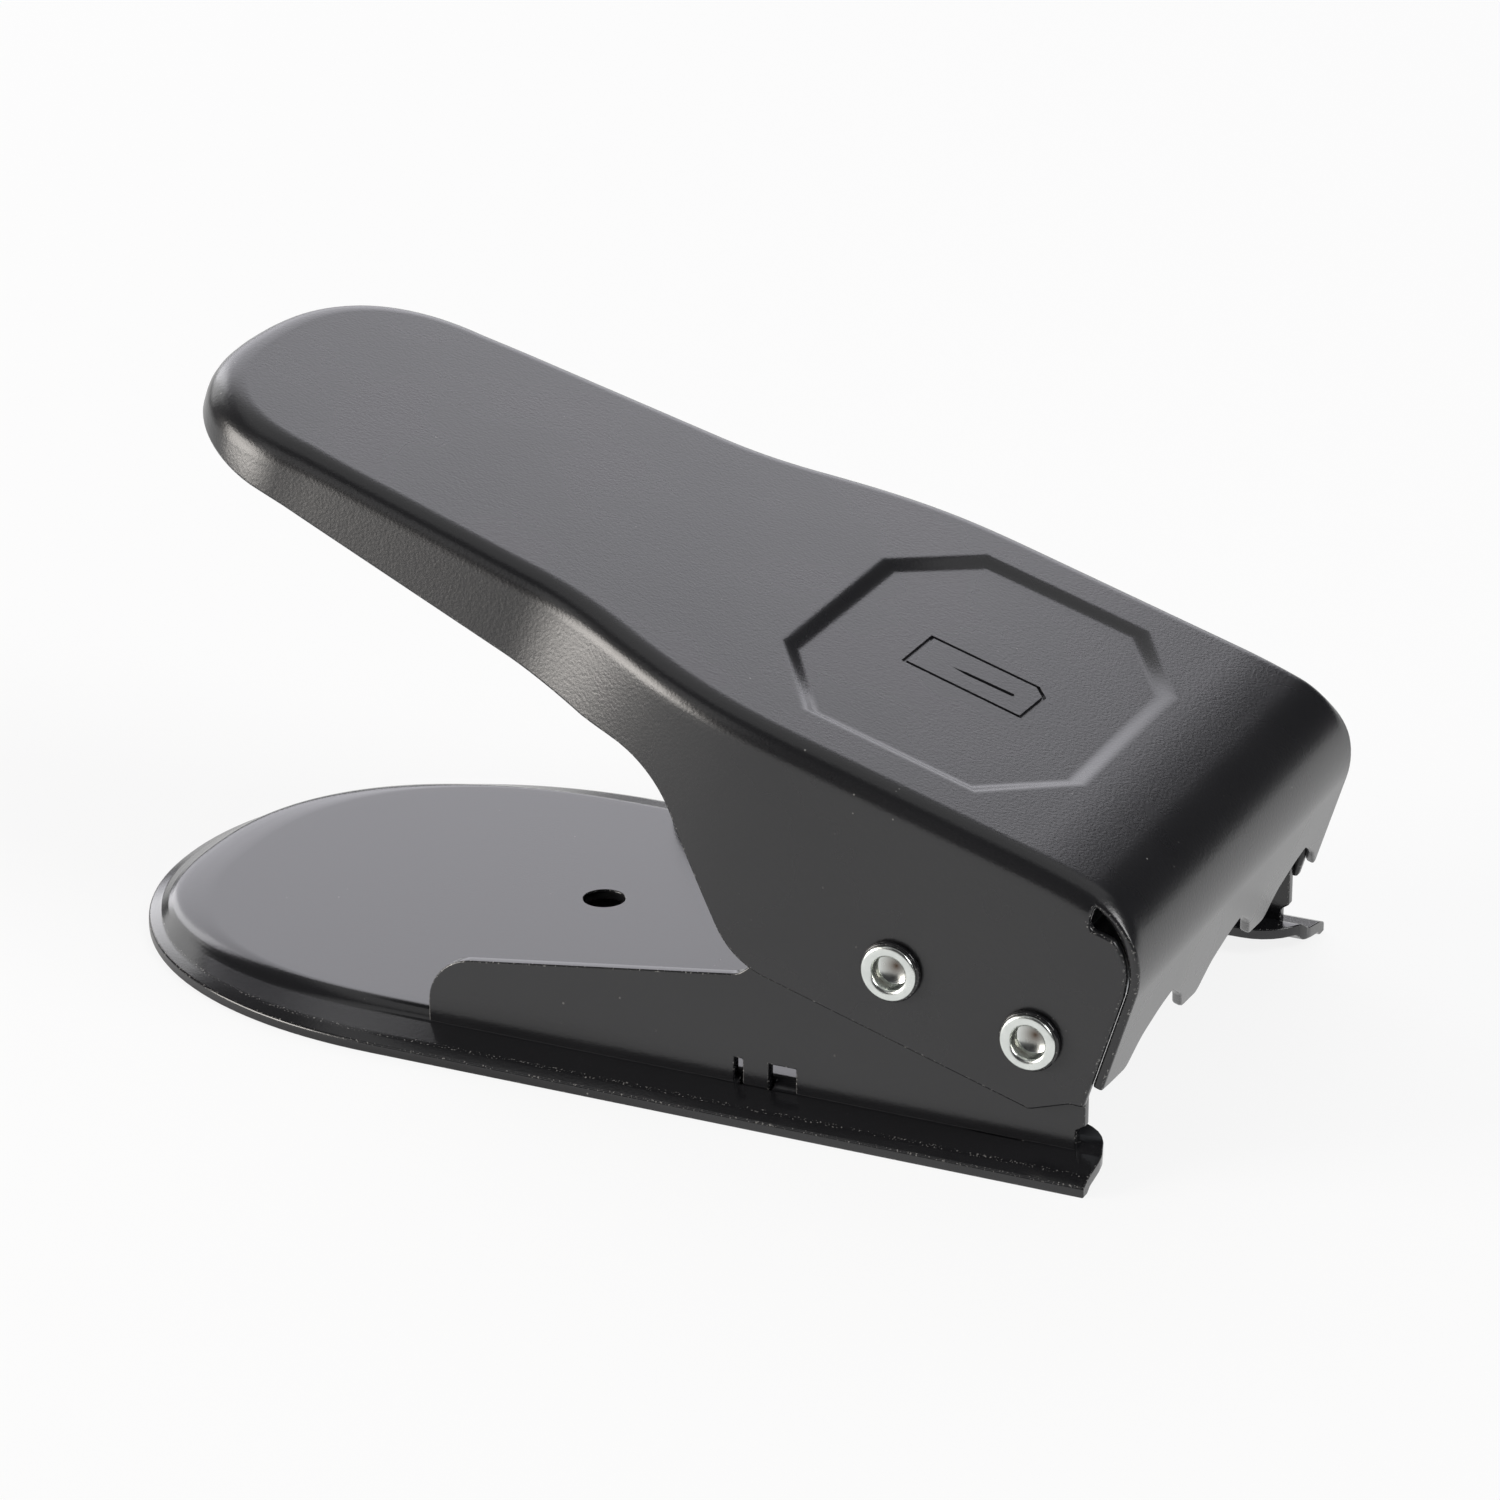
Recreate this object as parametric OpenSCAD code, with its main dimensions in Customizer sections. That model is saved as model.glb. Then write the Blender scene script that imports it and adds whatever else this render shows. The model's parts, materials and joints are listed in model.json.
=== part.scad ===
// Hand-press SIM card cutter: a formed base, two side plates, a pressed lever and a punch and die.
// Frame: +X towards the card mouth, +Y to the left, +Z up. The base rim stands on z = 0.

/* [Base plate] */
// Length of the base plate
base_length = 122; // [110:1:135]
// Width of the base plate
base_width = 71; // [69:0.5:80]
// Place of the base plate's rear end along X
base_rear_x = -63; // [-70:1:-56]
// Length of the rounded rear end
base_round = 41.8; // [30:0.2:50]
// Sheet thickness of the base plate
base_sheet = 1.2; // [0.8:0.1:1.6]
// Height of the flange's top face
flange_top = 2; // [1.8:0.1:3]
// Height of the raised middle's top face
plateau_top = 3.4; // [3:0.1:4.5]
// Width of the sloped rim
rim_slope = 1.4; // [0.8:0.1:2]
// Flange width behind the raised middle
rear_flange = 2.8; // [2.4:0.1:6]
// Diameter of the fixing hole
fix_hole_d = 4.6; // [3:0.1:6]
// Place of the fixing hole along X
fix_hole_x = -13; // [-30:0.5:-8]
// Place of the fixing hole along Y
fix_hole_y = 3.6; // [-8:0.2:8]

/* [Card mouth] */
// Width of the cut-out between the two fingers
mouth_w = 50.6; // [44:0.2:52]
// Depth of the cut-out from the front edge
mouth_depth = 13; // [10:0.5:14]
// Corner radius of the fingers
finger_r = 6; // [3:0.5:7]

/* [Side plates] */
// Thickness of a side plate
side_t = 1.2; // [1:0.1:1.6]
// Rear end of the side plates along X
side_rear_x = -16.9; // [-24:0.1:-12]
// Front end of the side plates along X
side_front_x = 57; // [56:0.1:57.5]
// Height of the low rear part at its rear corner
side_low_z = 10.3; // [9:0.1:12]
// Height of the low rear part where it meets the tall part
side_mid_z = 14.5; // [13.5:0.1:16]
// Height of the tall part that carries the pivot
side_high_z = 24.5; // [23.5:0.1:26]
// Length of a foot tab
tab_l = 3; // [2:0.1:4]

/* [Lever] */
// Tilt of the open lever
open_angle = 17; // [15:0.5:19]
// Turn of the lever from open to pressed
lever_travel = 16.5; // [12:0.5:17]
// Width of the lever's front part
lever_w = 63.6; // [62:0.2:64.4]
// Width of the handle at its rear end
handle_rear_w = 44; // [38:0.5:46]
// Width of the handle where the front part starts to widen
handle_front_w = 49.2; // [44:0.2:52]
// Distance from the pivot to the handle's rear end
lever_reach = 113.4; // [104:0.1:116]
// Sheet thickness of the lever
lever_sheet = 1.1; // [0.9:0.1:1.4]
// Outer radius of the lever's long edges
lever_edge_r = 2.6; // [2:0.1:4]
// Outer radius of the front bend
front_bend_r = 8.7; // [7:0.1:10]
// Height of the lever's top face above the pins
lever_rise = 18.25; // [17:0.05:20]
// Depth of the lever's side walls
wall_depth = 25.8; // [24.5:0.1:26.5]
// Depth of the handle's edge at its rear end
handle_depth = 6.2; // [5:0.1:9]
// Depth of the front plate to the tips of its teeth
front_depth = 20.2; // [18:0.1:22]
// Height of the front plate's notches
tooth_h = 5.8; // [4:0.1:7]
// Depth of the pressed octagon
octagon_depth = 0.6; // [0.4:0.1:1]

/* [Pins] */
// Place of the pivot pin along X
pivot_x = 51.6; // [51:0.1:52.5]
// Height of the pivot pin
pivot_z = 14.5; // [13.5:0.1:15]
// Distance between the pivot pin and the drive pin
pin_arm = 15.85; // [14.5:0.05:17]
// Outer diameter of a pin
pin_d = 5; // [4.6:0.1:5.4]
// Bore in each end of a pin
pin_bore = 3.6; // [2.8:0.1:4]
// Depth of that bore to the start of its drill point
pin_bore_depth = 2.4; // [1.6:0.2:6]
// Diameter of a pin's flared head
head_d = 6; // [5.8:0.1:7]
// Thickness of a pin's flared head
head_t = 0.4; // [0.3:0.1:0.8]
// Thickness of the black washer under a head
washer_t = 0.7; // [0.5:0.1:1]

/* [Punch and die] */
// Length of the cut card along X
card_l = 12.3; // [10:0.1:15]
// Width of the cut card along Y
card_w = 8.8; // [7:0.1:12]
// Length of the die block
die_l = 22; // [20:0.2:22.4]
// Width of the die block
die_w = 48; // [46:0.5:51]
// Height of the die block
die_h = 4; // [3.5:0.1:4.4]
// Width of the slot for the uncut card
slot_w = 15.2; // [13:0.1:16]
// Height of the slot for the uncut card
slot_h = 1; // [0.9:0.1:1.2]
// Thickness of the stripper plate
stripper_h = 1.5; // [1.2:0.1:1.8]
// Width of the punch holder
holder_w = 44; // [42:0.5:46]
// Length of the punch holder
holder_l = 20; // [19:0.2:20.5]
// Diameter of a guide post
post_d = 4; // [3.5:0.1:4.2]
// Distance between the two guide posts
post_gap = 34; // [32:0.2:35]
// Wire diameter of a return spring
wire_d = 0.8; // [0.6:0.05:0.9]
// Turns of a return spring
spring_turns = 5.5; // [4:0.5:6]

/* [Clearances] */
// Gap between the lever's walls and the side plates
side_gap = 0.3; // [0.2:0.05:0.5]
// Radial gap of a pin or a post that turns or slides in its hole
running_gap = 0.05; // [0.02:0.01:0.08]
// Gap between the punch and the die
punch_gap = 0.1; // [0.05:0.01:0.2]
// Gap that is left between parts at the end of the stroke
stop_gap = 0.4; // [0.3:0.05:0.6]

/* [Hidden] */
$fn = 64;

black_paint = "#1d1d1f";
zinc = "#c9ccd0";
tool_steel = "#8d9094";
bronze = "#a5783f";
far = 400;

// Base: rings of the formed sheet
base_front_x = base_rear_x + base_length;
frame_half = lever_w / 2 - lever_sheet - side_gap;
step_inset = base_width / 2 - frame_half;
step_slope = 1;
rim_edge = base_sheet - 0.1;
rim_fullness = 2.1;
step_fullness = 2.4;
// One ring: inset of the rear end, inset of the sides, fullness of the round, height
base_rings = [
    [rear_flange + step_slope, step_inset + step_slope, step_fullness, plateau_top],
    [rear_flange, step_inset, step_fullness, flange_top],
    [rim_slope, rim_slope, rim_fullness, flange_top],
    [0, 0, rim_fullness, rim_edge],
    [0, 0, rim_fullness, 0],
    [base_sheet, base_sheet, rim_fullness, 0],
    [rim_slope + 0.5, rim_slope + 0.5, rim_fullness, flange_top - base_sheet],
    [rear_flange + 0.8, step_inset + 0.8, step_fullness, flange_top - base_sheet],
    [rear_flange + step_slope + 0.9, step_inset + step_slope + 0.9, step_fullness, plateau_top - base_sheet]
];
round_steps = 20;

// Pins: the drive pin's places in the open and the pressed lever
drive_x = pivot_x - pin_arm * cos(open_angle);
drive_z = pivot_z + pin_arm * sin(open_angle);
pressed_x = pivot_x - pin_arm * cos(open_angle - lever_travel);
pressed_z = pivot_z + pin_arm * sin(open_angle - lever_travel);
stroke = drive_z - pressed_z;
pin_hole_r = pin_d / 2 + running_gap;
pin_slot_r = pin_d / 2 + stop_gap;

// Die stack on the base
die_x = (drive_x + pressed_x) / 2;
die_z = plateau_top;
slot_z = die_z + die_h;
stripper_z = slot_z + slot_h;
stack_top = stripper_z + stripper_h;
holder_z = stack_top + stroke + stop_gap;
holder_top = drive_z + 1.18 * pin_d;
holder_x = die_x - 0.6 * (die_l - holder_l);
post_x = die_x - die_l / 2 + 0.6 * post_d;
post_top = holder_top + 0.55 * post_d;
punch_tip = stripper_z + stripper_h / 5;
card_corner = card_w * 0.23;
bush_d = 1.5 * post_d;
pocket_d = 2 * post_d;
pocket_top = holder_z + 0.53 * (holder_top - holder_z);
spring_r = (post_d + pocket_d) / 4;
screw_d = 2;
screw_head_d = 3.8;
screw_head_h = 1.2;
die_screw_x = die_l / 2 - 1.2 * screw_d;
die_screw_y = die_w / 2 - 1.2 * screw_d;
punch_screw_x = card_l * 0.378;

// Lever: its own frame has the pivot at the origin and u along the handle
lever_half = lever_w / 2;
handle_round = 18;
handle_fullness = 2.4;
widen_start = -62;
widen_l = 26;
front_u = front_bend_r - 0.2;
wall_front_u = front_u - lever_sheet - 0.2;
tooth_pitch = lever_w * 0.3125;
tooth_lean = 0.68;
octagon_rear = -43.4;
octagon_front = -7.6;
octagon_side = 24.4;
octagon_end = 13;
octagon_cut = 7.9;

function lerp(a, b, t) = a + (b - a) * t;

function arc(cx, cy, r, a0, a1, n) =
    [for (i = [0:n]) [cx + r * cos(lerp(a0, a1, i / n)), cy + r * sin(lerp(a0, a1, i / n))]];

// Half an outline as [x, y] from the rear point to the front, closed with its mirror image
function both_sides(half) =
    concat(half, [for (i = [len(half) - 1:-1:1]) [half[i][0], -half[i][1]]]);

// Round end of half-width h and length a, of the given fullness, as [x, y] from its rear point
function round_end(x0, a, h, fullness) =
    [for (i = [0:round_steps]) let (t = 90 * i / round_steps)
        [x0 + a * (1 - pow(cos(t), 2 / fullness)), h * pow(sin(t), 2 / fullness)]];

function base_ring(r) = both_sides(concat(
    round_end(base_rear_x + r[0], base_round - r[0], base_width / 2 - r[1], r[2]),
    [[base_front_x + 6, base_width / 2 - r[1]]]));

function handle_half(u) =
    u < widen_start
        ? lerp(handle_rear_w, handle_front_w, (u + lever_reach - handle_round)
            / (widen_start + lever_reach - handle_round)) / 2
        : lerp(handle_front_w / 2, lever_half, sin(90 * min(1, (u - widen_start) / widen_l)));

function lever_ring(inset) = both_sides(concat(
    round_end(-lever_reach + inset, handle_round - inset, handle_rear_w / 2 - inset, handle_fullness),
    [for (i = [0:12]) let (u = widen_start + widen_l * i / 12) [u, handle_half(u) - inset]],
    [[front_u + 4, lever_half - inset]]));

// Solid through a stack of rings with the same number of points, closed at both ends
module loft(rings, heights) {
    n = len(rings[0]);
    polyhedron(
        points = [for (k = [0:len(rings) - 1]) for (p = rings[k]) [p[0], p[1], heights[k]]],
        faces = concat(
            [[for (i = [0:n - 1]) i]],
            [[for (i = [n - 1:-1:0]) (len(rings) - 1) * n + i]],
            [for (k = [0:len(rings) - 2]) for (i = [0:n - 1]) let (j = (i + 1) % n)
                [k * n + i, (k + 1) * n + i, k * n + j]],
            [for (k = [0:len(rings) - 2]) for (i = [0:n - 1]) let (j = (i + 1) % n)
                [k * n + j, (k + 1) * n + i, (k + 1) * n + j]]));
}

module box(x0, x1, y0, y1, z0, z1) {
    translate([x0, y0, z0]) cube([x1 - x0, y1 - y0, z1 - z0]);
}

// Upright cylinder from z0 to z1
module post(x, y, z0, z1, d) {
    translate([x, y, z0]) cylinder(h = z1 - z0, d = d);
}

// Cylinder along Y, centred on the middle plane
module cross_rod(x, z, r, l) {
    translate([x, 0, z]) rotate([90, 0, 0]) cylinder(h = l, r = r, center = true);
}

// Round-ended slot along Y between two places of a pin
module cross_slot(x0, z0, x1, z1, r, l) {
    a = atan2(z1 - z0, x1 - x0);
    ends = concat(arc(x0, z0, r, a + 90, a + 270, 16), arc(x1, z1, r, a - 90, a + 90, 16));
    xz_plate(ends, -l / 2, l / 2);
}

// Plate cut from an outline in the XZ plane, between two places along Y
module xz_plate(points, y0, y1) {
    translate([0, y1, 0]) rotate([90, 0, 0]) linear_extrude(y1 - y0) polygon(points);
}

module in_lever() {
    translate([pivot_x, 0, pivot_z]) rotate([0, open_angle, 0]) children();
}

// Cut-out between the fingers, with round finger ends and round inner corners
module mouth_cut() {
    back = base_front_x - mouth_depth;
    r = finger_r;
    half = mouth_w / 2;
    edge = concat(arc(back + r, half - r, r, 180, 90, 8),
                  arc(base_front_x - r, half + r, r, -90, 0, 8), [[base_front_x + 10, half + r]]);
    translate([0, 0, -1]) linear_extrude(10)
        polygon(concat(edge, [for (i = [len(edge) - 1:-1:0]) [edge[i][0], -edge[i][1]]]));
}

// Foot tabs: where they start along X, and the height of their lower end
tab_xs = [side_rear_x + 36.2, side_front_x - 10];
tab_tip = 0.3;

module base_plate() {
    color(black_paint) difference() {
        loft([for (r = base_rings) base_ring(r)], [for (r = base_rings) r[3]]);
        box(base_front_x, base_front_x + far, -far, far, -far, far);
        mouth_cut();
        post(fix_hole_x, fix_hole_y, -1, plateau_top + 1, fix_hole_d);
        for (s = [-1, 1]) {
            side_cut_y = s * (frame_half - side_t / 2);
            box(side_rear_x, far, side_cut_y - side_t / 2, side_cut_y + side_t / 2, flange_top, far);
            for (x = tab_xs)
                box(x, x + tab_l, side_cut_y - side_t / 2, side_cut_y + side_t / 2, -1, far);
        }
        card_prism(card_l + 2, card_w + 2, -1, plateau_top + 1);
        die_screw_places() post(0, 0, -1, plateau_top + 1, screw_d + 0.4);
    }
}

// Side plate outline in the XZ plane
module side_plate(s) {
    outer = s * frame_half;
    inner = s * (frame_half - side_t);
    corner_r = 5.6;
    neck_r = 3.5;
    rise_x = tab_xs[0] + 1.5;
    slope = atan2(side_mid_z - side_low_z, rise_x - neck_r - side_rear_x - corner_r);
    notch_z = flange_top + 2.3;
    step_x = side_front_x - 0.9;
    tab = tab_xs[0];
    front_tab = tab_xs[1];
    outline = concat(
        [[side_rear_x, flange_top]],
        arc(side_rear_x + corner_r, side_low_z - corner_r, corner_r, 180, 90 + slope, 12),
        arc(rise_x - neck_r, side_mid_z + neck_r, neck_r, 270 + slope, 350, 8),
        arc(rise_x + 6, side_high_z - 5, 5, 170, 90, 8),
        arc(side_front_x - 6, side_high_z - 6, 6, 90, 0, 8),
        [[side_front_x, flange_top + 3.2], [step_x, flange_top + 2.6], [step_x, flange_top]],
        [[front_tab + tab_l, flange_top], [front_tab + tab_l, tab_tip],
         [front_tab, tab_tip], [front_tab, flange_top]],
        [[tab + tab_l + 3, flange_top], [tab + tab_l + 3, notch_z],
         [tab + tab_l, notch_z], [tab + tab_l, tab_tip]],
        [[tab, tab_tip], [tab, notch_z], [tab - 0.9, notch_z], [tab - 0.9, flange_top]]);
    difference() {
        xz_plate(outline, min(outer, inner), max(outer, inner));
        cross_rod(pivot_x, pivot_z, pin_d / 2, far);
        cross_slot(drive_x, drive_z, pressed_x, pressed_z, pin_slot_r, far);
    }
}

module side_plate_right() {
    color(black_paint) side_plate(-1);
}

module side_plate_left() {
    color(black_paint) side_plate(1);
}

// Outline of the cut card, grown by a gap, with one corner cut off
module card_prism(l, w, z0, z1) {
    c = card_corner;
    translate([die_x, 0, z0]) linear_extrude(z1 - z0)
        polygon([[-l / 2, -w / 2], [l / 2, -w / 2], [l / 2, w / 2 - c],
                 [l / 2 - c, w / 2], [-l / 2, w / 2]]);
}

module die_screw_places() {
    for (sx = [-1, 1], sy = [-1, 1])
        translate([die_x + sx * die_screw_x, sy * die_screw_y, 0]) children();
}

// Plate of the die stack with its screw and post holes
module stack_plate(z0, z1, post_hole_d, screw_hole_d) {
    difference() {
        box(die_x - die_l / 2, die_x + die_l / 2, -die_w / 2, die_w / 2, z0, z1);
        die_screw_places() post(0, 0, z0 - 1, z1 + 1, screw_hole_d);
        for (s = [-1, 1]) post(post_x, s * post_gap / 2, z0 - 1, z1 + 1, post_hole_d);
    }
}

module die_block() {
    color(tool_steel) difference() {
        stack_plate(die_z, slot_z, post_d, screw_d + 0.4);
        card_prism(card_l + 2 * punch_gap, card_w + 2 * punch_gap, die_z - 1, slot_z + 1);
    }
}

module slot_spacer() {
    color(tool_steel) difference() {
        stack_plate(slot_z, stripper_z, post_d + 0.4, screw_d + 0.4);
        box(die_x - card_l / 2 - 2, far, -slot_w / 2, slot_w / 2, slot_z - 1, stripper_z + 1);
    }
}

module stripper_plate() {
    color(tool_steel) difference() {
        stack_plate(stripper_z, stack_top, post_d + 0.4, screw_d);
        card_prism(card_l + 4 * punch_gap, card_w + 4 * punch_gap, stripper_z - 1, stack_top + 1);
    }
}

module die_screws() {
    under = plateau_top - base_sheet;
    color(zinc) die_screw_places() {
        post(0, 0, under, stripper_z + 0.6 * stripper_h, screw_d);
        post(0, 0, under - screw_head_h, under, screw_head_d);
    }
}

module guide_posts() {
    color(tool_steel) for (s = [-1, 1]) difference() {
        post(post_x, s * post_gap / 2, die_z, post_top, post_d);
        translate([post_x, s * post_gap / 2, post_top - 1.2]) clip_ring(post_d, 0.5);
    }
}

// Flat ring that fills a post's groove
module clip_ring(outer_d, h) {
    difference() {
        cylinder(h = h, d = outer_d + 0.001);
        translate([0, 0, -1]) cylinder(h = h + 2, d = post_d - 1);
    }
}

module post_clips() {
    color(tool_steel) for (s = [-1, 1])
        translate([post_x, s * post_gap / 2, post_top - 1.2]) clip_ring(post_d + 2.4, 0.5);
}

// Pin with flared heads outside the lever's walls and their washers, and a drilled bore in each end
module drilled_pin(x, z, head_gap) {
    reach = lever_half + washer_t + head_gap;
    end = reach + head_t;
    bottom = end - pin_bore_depth;
    point = 0.3 * pin_bore;
    translate([x, 0, z]) rotate([90, 0, 0]) difference() {
        union() {
            cylinder(h = 2 * end, d = pin_d, center = true);
            for (s = [-1, 1]) translate([0, 0, s * (reach + head_t / 2)])
                cylinder(h = head_t, d = head_d, center = true);
        }
        for (turn = [0, 180]) rotate([turn, 0, 0]) rotate_extrude()
            polygon([[0, bottom - point], [pin_bore / 2, bottom], [pin_bore / 2, far], [0, far]]);
    }
}

// Pair of washers outside the lever's walls
module washer_pair(x, z, gap) {
    translate([x, 0, z]) rotate([90, 0, 0]) for (s = [-1, 1])
        translate([0, 0, s * (lever_half + gap + washer_t / 2)]) difference() {
            cylinder(h = washer_t, d = head_d + 0.5, center = true);
            cylinder(h = washer_t + 2, d = pin_d + 2 * running_gap, center = true);
        }
}

module pivot_pin() {
    color(zinc) drilled_pin(pivot_x, pivot_z, running_gap);
}

module pivot_washers() {
    color(black_paint) washer_pair(pivot_x, pivot_z, running_gap);
}

module pivot_spacer() {
    l = 2 * (frame_half - side_t);
    color(tool_steel) difference() {
        cross_rod(pivot_x, pivot_z, pin_d / 2 + 1.2, l);
        cross_rod(pivot_x, pivot_z, pin_d / 2 + running_gap, l + 2);
    }
}

// Return spring: one unbroken tube along a helix
spring_z0 = stack_top + wire_d / 2 + 0.02;
spring_z1 = pocket_top - wire_d / 2 - 0.02;
spring_rings = 8;
spring_sides = 6;
spring_pitch = (spring_z1 - spring_z0) / spring_turns;
echo(spring_gap = spring_pitch - wire_d);

function spring_point(i) = let (t = i / spring_rings)
    [spring_r * cos(360 * t), spring_r * sin(360 * t), spring_z0 + spring_pitch * t];

module return_spring(s) {
    n = spring_rings * spring_turns;
    k = spring_sides;
    points = [for (i = [0:n]) let (a = 360 * i / spring_rings) for (j = [0:k - 1]) let (b = 360 * j / k)
        spring_point(i) + wire_d / 2 * [cos(b) * cos(a), cos(b) * sin(a), sin(b)]];
    faces = concat(
        [for (j = [1:k - 2]) [0, j, j + 1]],
        [for (j = [1:k - 2]) [n * k, n * k + j + 1, n * k + j]],
        [for (i = [0:n - 1]) for (j = [0:k - 1]) let (m = (j + 1) % k)
            [i * k + j, (i + 1) * k + j, i * k + m]],
        [for (i = [0:n - 1]) for (j = [0:k - 1]) let (m = (j + 1) % k)
            [i * k + m, (i + 1) * k + j, (i + 1) * k + m]]);
    translate([post_x, s * post_gap / 2, 0]) polyhedron(points = points, faces = faces);
}

module return_spring_right() {
    color(zinc) return_spring(-1);
}

module return_spring_left() {
    color(zinc) return_spring(1);
}

// Block inside the lever's plan, inset all round, with rounded long edges
module lever_block(inset, top, edge_r) {
    steps = 4;
    angles = [for (i = [0:steps]) 90 - 90 * i / steps];
    loft(concat([for (a = angles) lever_ring(inset + edge_r * (1 - cos(a)))], [lever_ring(inset)]),
         concat([for (a = angles) top - edge_r * (1 - sin(a))], [top - 40]));
}

// Side view of the lever in its own frame: lower edge, front edge and the relief at the front bend
module lever_side_view() {
    low = lever_rise - wall_depth;
    edge = lever_rise - handle_depth;
    neck = lever_rise - handle_depth - 3.9;
    neck_r = 12;
    bow_r = 9;
    bow_a = 43;
    lower = concat(
        [[-lever_reach - 5, edge + 1.2], [-98, edge], [-58, neck]],
        arc(-52.2, neck - neck_r, neck_r, 90, bow_a, 6),
        arc(-28.3, low + bow_r, bow_r, 180 + bow_a, 270, 6),
        [[2.2, low], [5.9, low + 2.6], [wall_front_u, low + 3]]);
    relief = concat(
        arc(wall_front_u - 6.5, lever_rise - 9.35, 6.5, 0, 55, 6),
        [[2, lever_rise - 4], [1.5, lever_rise - 3.3], [1.5, lever_rise + 5],
         [-lever_reach - 5, lever_rise + 5]]);
    rotate([90, 0, 0]) linear_extrude(far, center = true) polygon(concat(lower, relief));
}

// Saw-tooth lower edge of the front plate, seen along the lever, as [y, height]
module tooth_cut() {
    tip = lever_rise - front_depth;
    for (i = [-1:1]) {
        y0 = (i - 0.5) * tooth_pitch + 0.8;
        top_y = y0 + tooth_lean * tooth_pitch;
        y1 = y0 + tooth_pitch - 1.6;
        rotate([90, 0, 90]) linear_extrude(far)
            polygon([[y0, tip - 5], [y0, tip], [top_y - 1.6, tip + tooth_h - 0.5], [top_y, tip + tooth_h],
                     [top_y + 1.2, tip + tooth_h - 1.2], [y1 - 0.8, tip + 1.4], [y1, tip], [y1, tip - 5]]);
    }
}

// Front plate with its big bend, in the lever's frame
module front_plate() {
    r = front_bend_r;
    c = front_u - r;
    tip = lever_rise - front_depth;
    outline = concat(
        arc(c, lever_rise - r, r, 82, 0, 12), [[front_u, tip], [front_u - lever_sheet, tip]],
        arc(c, lever_rise - r, r - lever_sheet, 0, 81, 12));
    half = lever_half - 0.4;
    difference() {
        xz_plate(outline, -half, half);
        tooth_cut();
    }
}

module octagon(z0, z1, inset) {
    e = octagon_end - inset / 2;
    s = octagon_side - inset;
    r = octagon_rear + inset;
    f = octagon_front - inset;
    translate([0, 0, z0]) linear_extrude(z1 - z0)
        polygon([[r, -e], [r + octagon_cut, -s], [f - octagon_cut, -s], [f, -e],
                 [f, e], [f - octagon_cut, s], [r + octagon_cut, s], [r, e]]);
}

module lever_shell() {
    color(black_paint) in_lever() difference() {
        union() {
            intersection() {
                difference() {
                    lever_block(0, lever_rise, lever_edge_r);
                    lever_block(lever_sheet, lever_rise - lever_sheet, lever_edge_r - lever_sheet);
                }
                lever_side_view();
            }
            front_plate();
            octagon(lever_rise - octagon_depth - lever_sheet, lever_rise - 0.5 * lever_sheet, 0.6);
        }
        octagon(lever_rise - octagon_depth, lever_rise + 5, 0);
        cross_rod(0, 0, pin_hole_r, far);
        cross_rod(-pin_arm, 0, pin_d / 2, far);
    }
}

module drive_pin() {
    color(zinc) drilled_pin(drive_x, drive_z, 0);
}

module drive_washers() {
    color(black_paint) washer_pair(drive_x, drive_z, 0);
}

module punch_screw_places() {
    for (s = [-1, 1]) translate([die_x + s * punch_screw_x, 0, 0]) children();
}

module punch_holder() {
    color(tool_steel) difference() {
        box(holder_x - holder_l / 2, holder_x + holder_l / 2, -holder_w / 2, holder_w / 2,
            holder_z, holder_top);
        cross_slot(drive_x, drive_z, pressed_x, drive_z, pin_d / 2 + punch_gap, far);
        for (s = [-1, 1]) {
            post(post_x, s * post_gap / 2, holder_z - 1, pocket_top, pocket_d);
            post(post_x, s * post_gap / 2, holder_z, holder_top + 1, bush_d);
        }
        punch_screw_places() post(0, 0, holder_z - 1, holder_top + 1, screw_d + 2 * running_gap);
    }
}

module punch() {
    color(tool_steel) difference() {
        card_prism(card_l, card_w, punch_tip, holder_z);
        punch_screw_places() post(0, 0, punch_tip + 1.5, holder_z + 1, screw_d);
    }
}

module punch_screws() {
    color(zinc) punch_screw_places() {
        post(0, 0, punch_tip + 1.5, holder_top, screw_d);
        post(0, 0, holder_top, holder_top + screw_head_h, screw_head_d);
    }
}

module holder_bushes() {
    color(bronze) for (s = [-1, 1]) difference() {
        post(post_x, s * post_gap / 2, pocket_top, holder_top, bush_d);
        post(post_x, s * post_gap / 2, pocket_top - 1, holder_top + 1, post_d + 2 * running_gap);
    }
}

base_plate();
side_plate_right();
side_plate_left();
die_block();
slot_spacer();
stripper_plate();
die_screws();
guide_posts();
post_clips();
pivot_pin();
pivot_spacer();
pivot_washers();
return_spring_right();
return_spring_left();
lever_shell();
drive_pin();
drive_washers();
punch_holder();
punch();
punch_screws();
holder_bushes();
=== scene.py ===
"""Looks of a hand-press SIM card cutter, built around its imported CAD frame. Sizes are in millimetres."""
import json
import math

import bmesh
import bpy
from mathutils import Matrix, Vector

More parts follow.
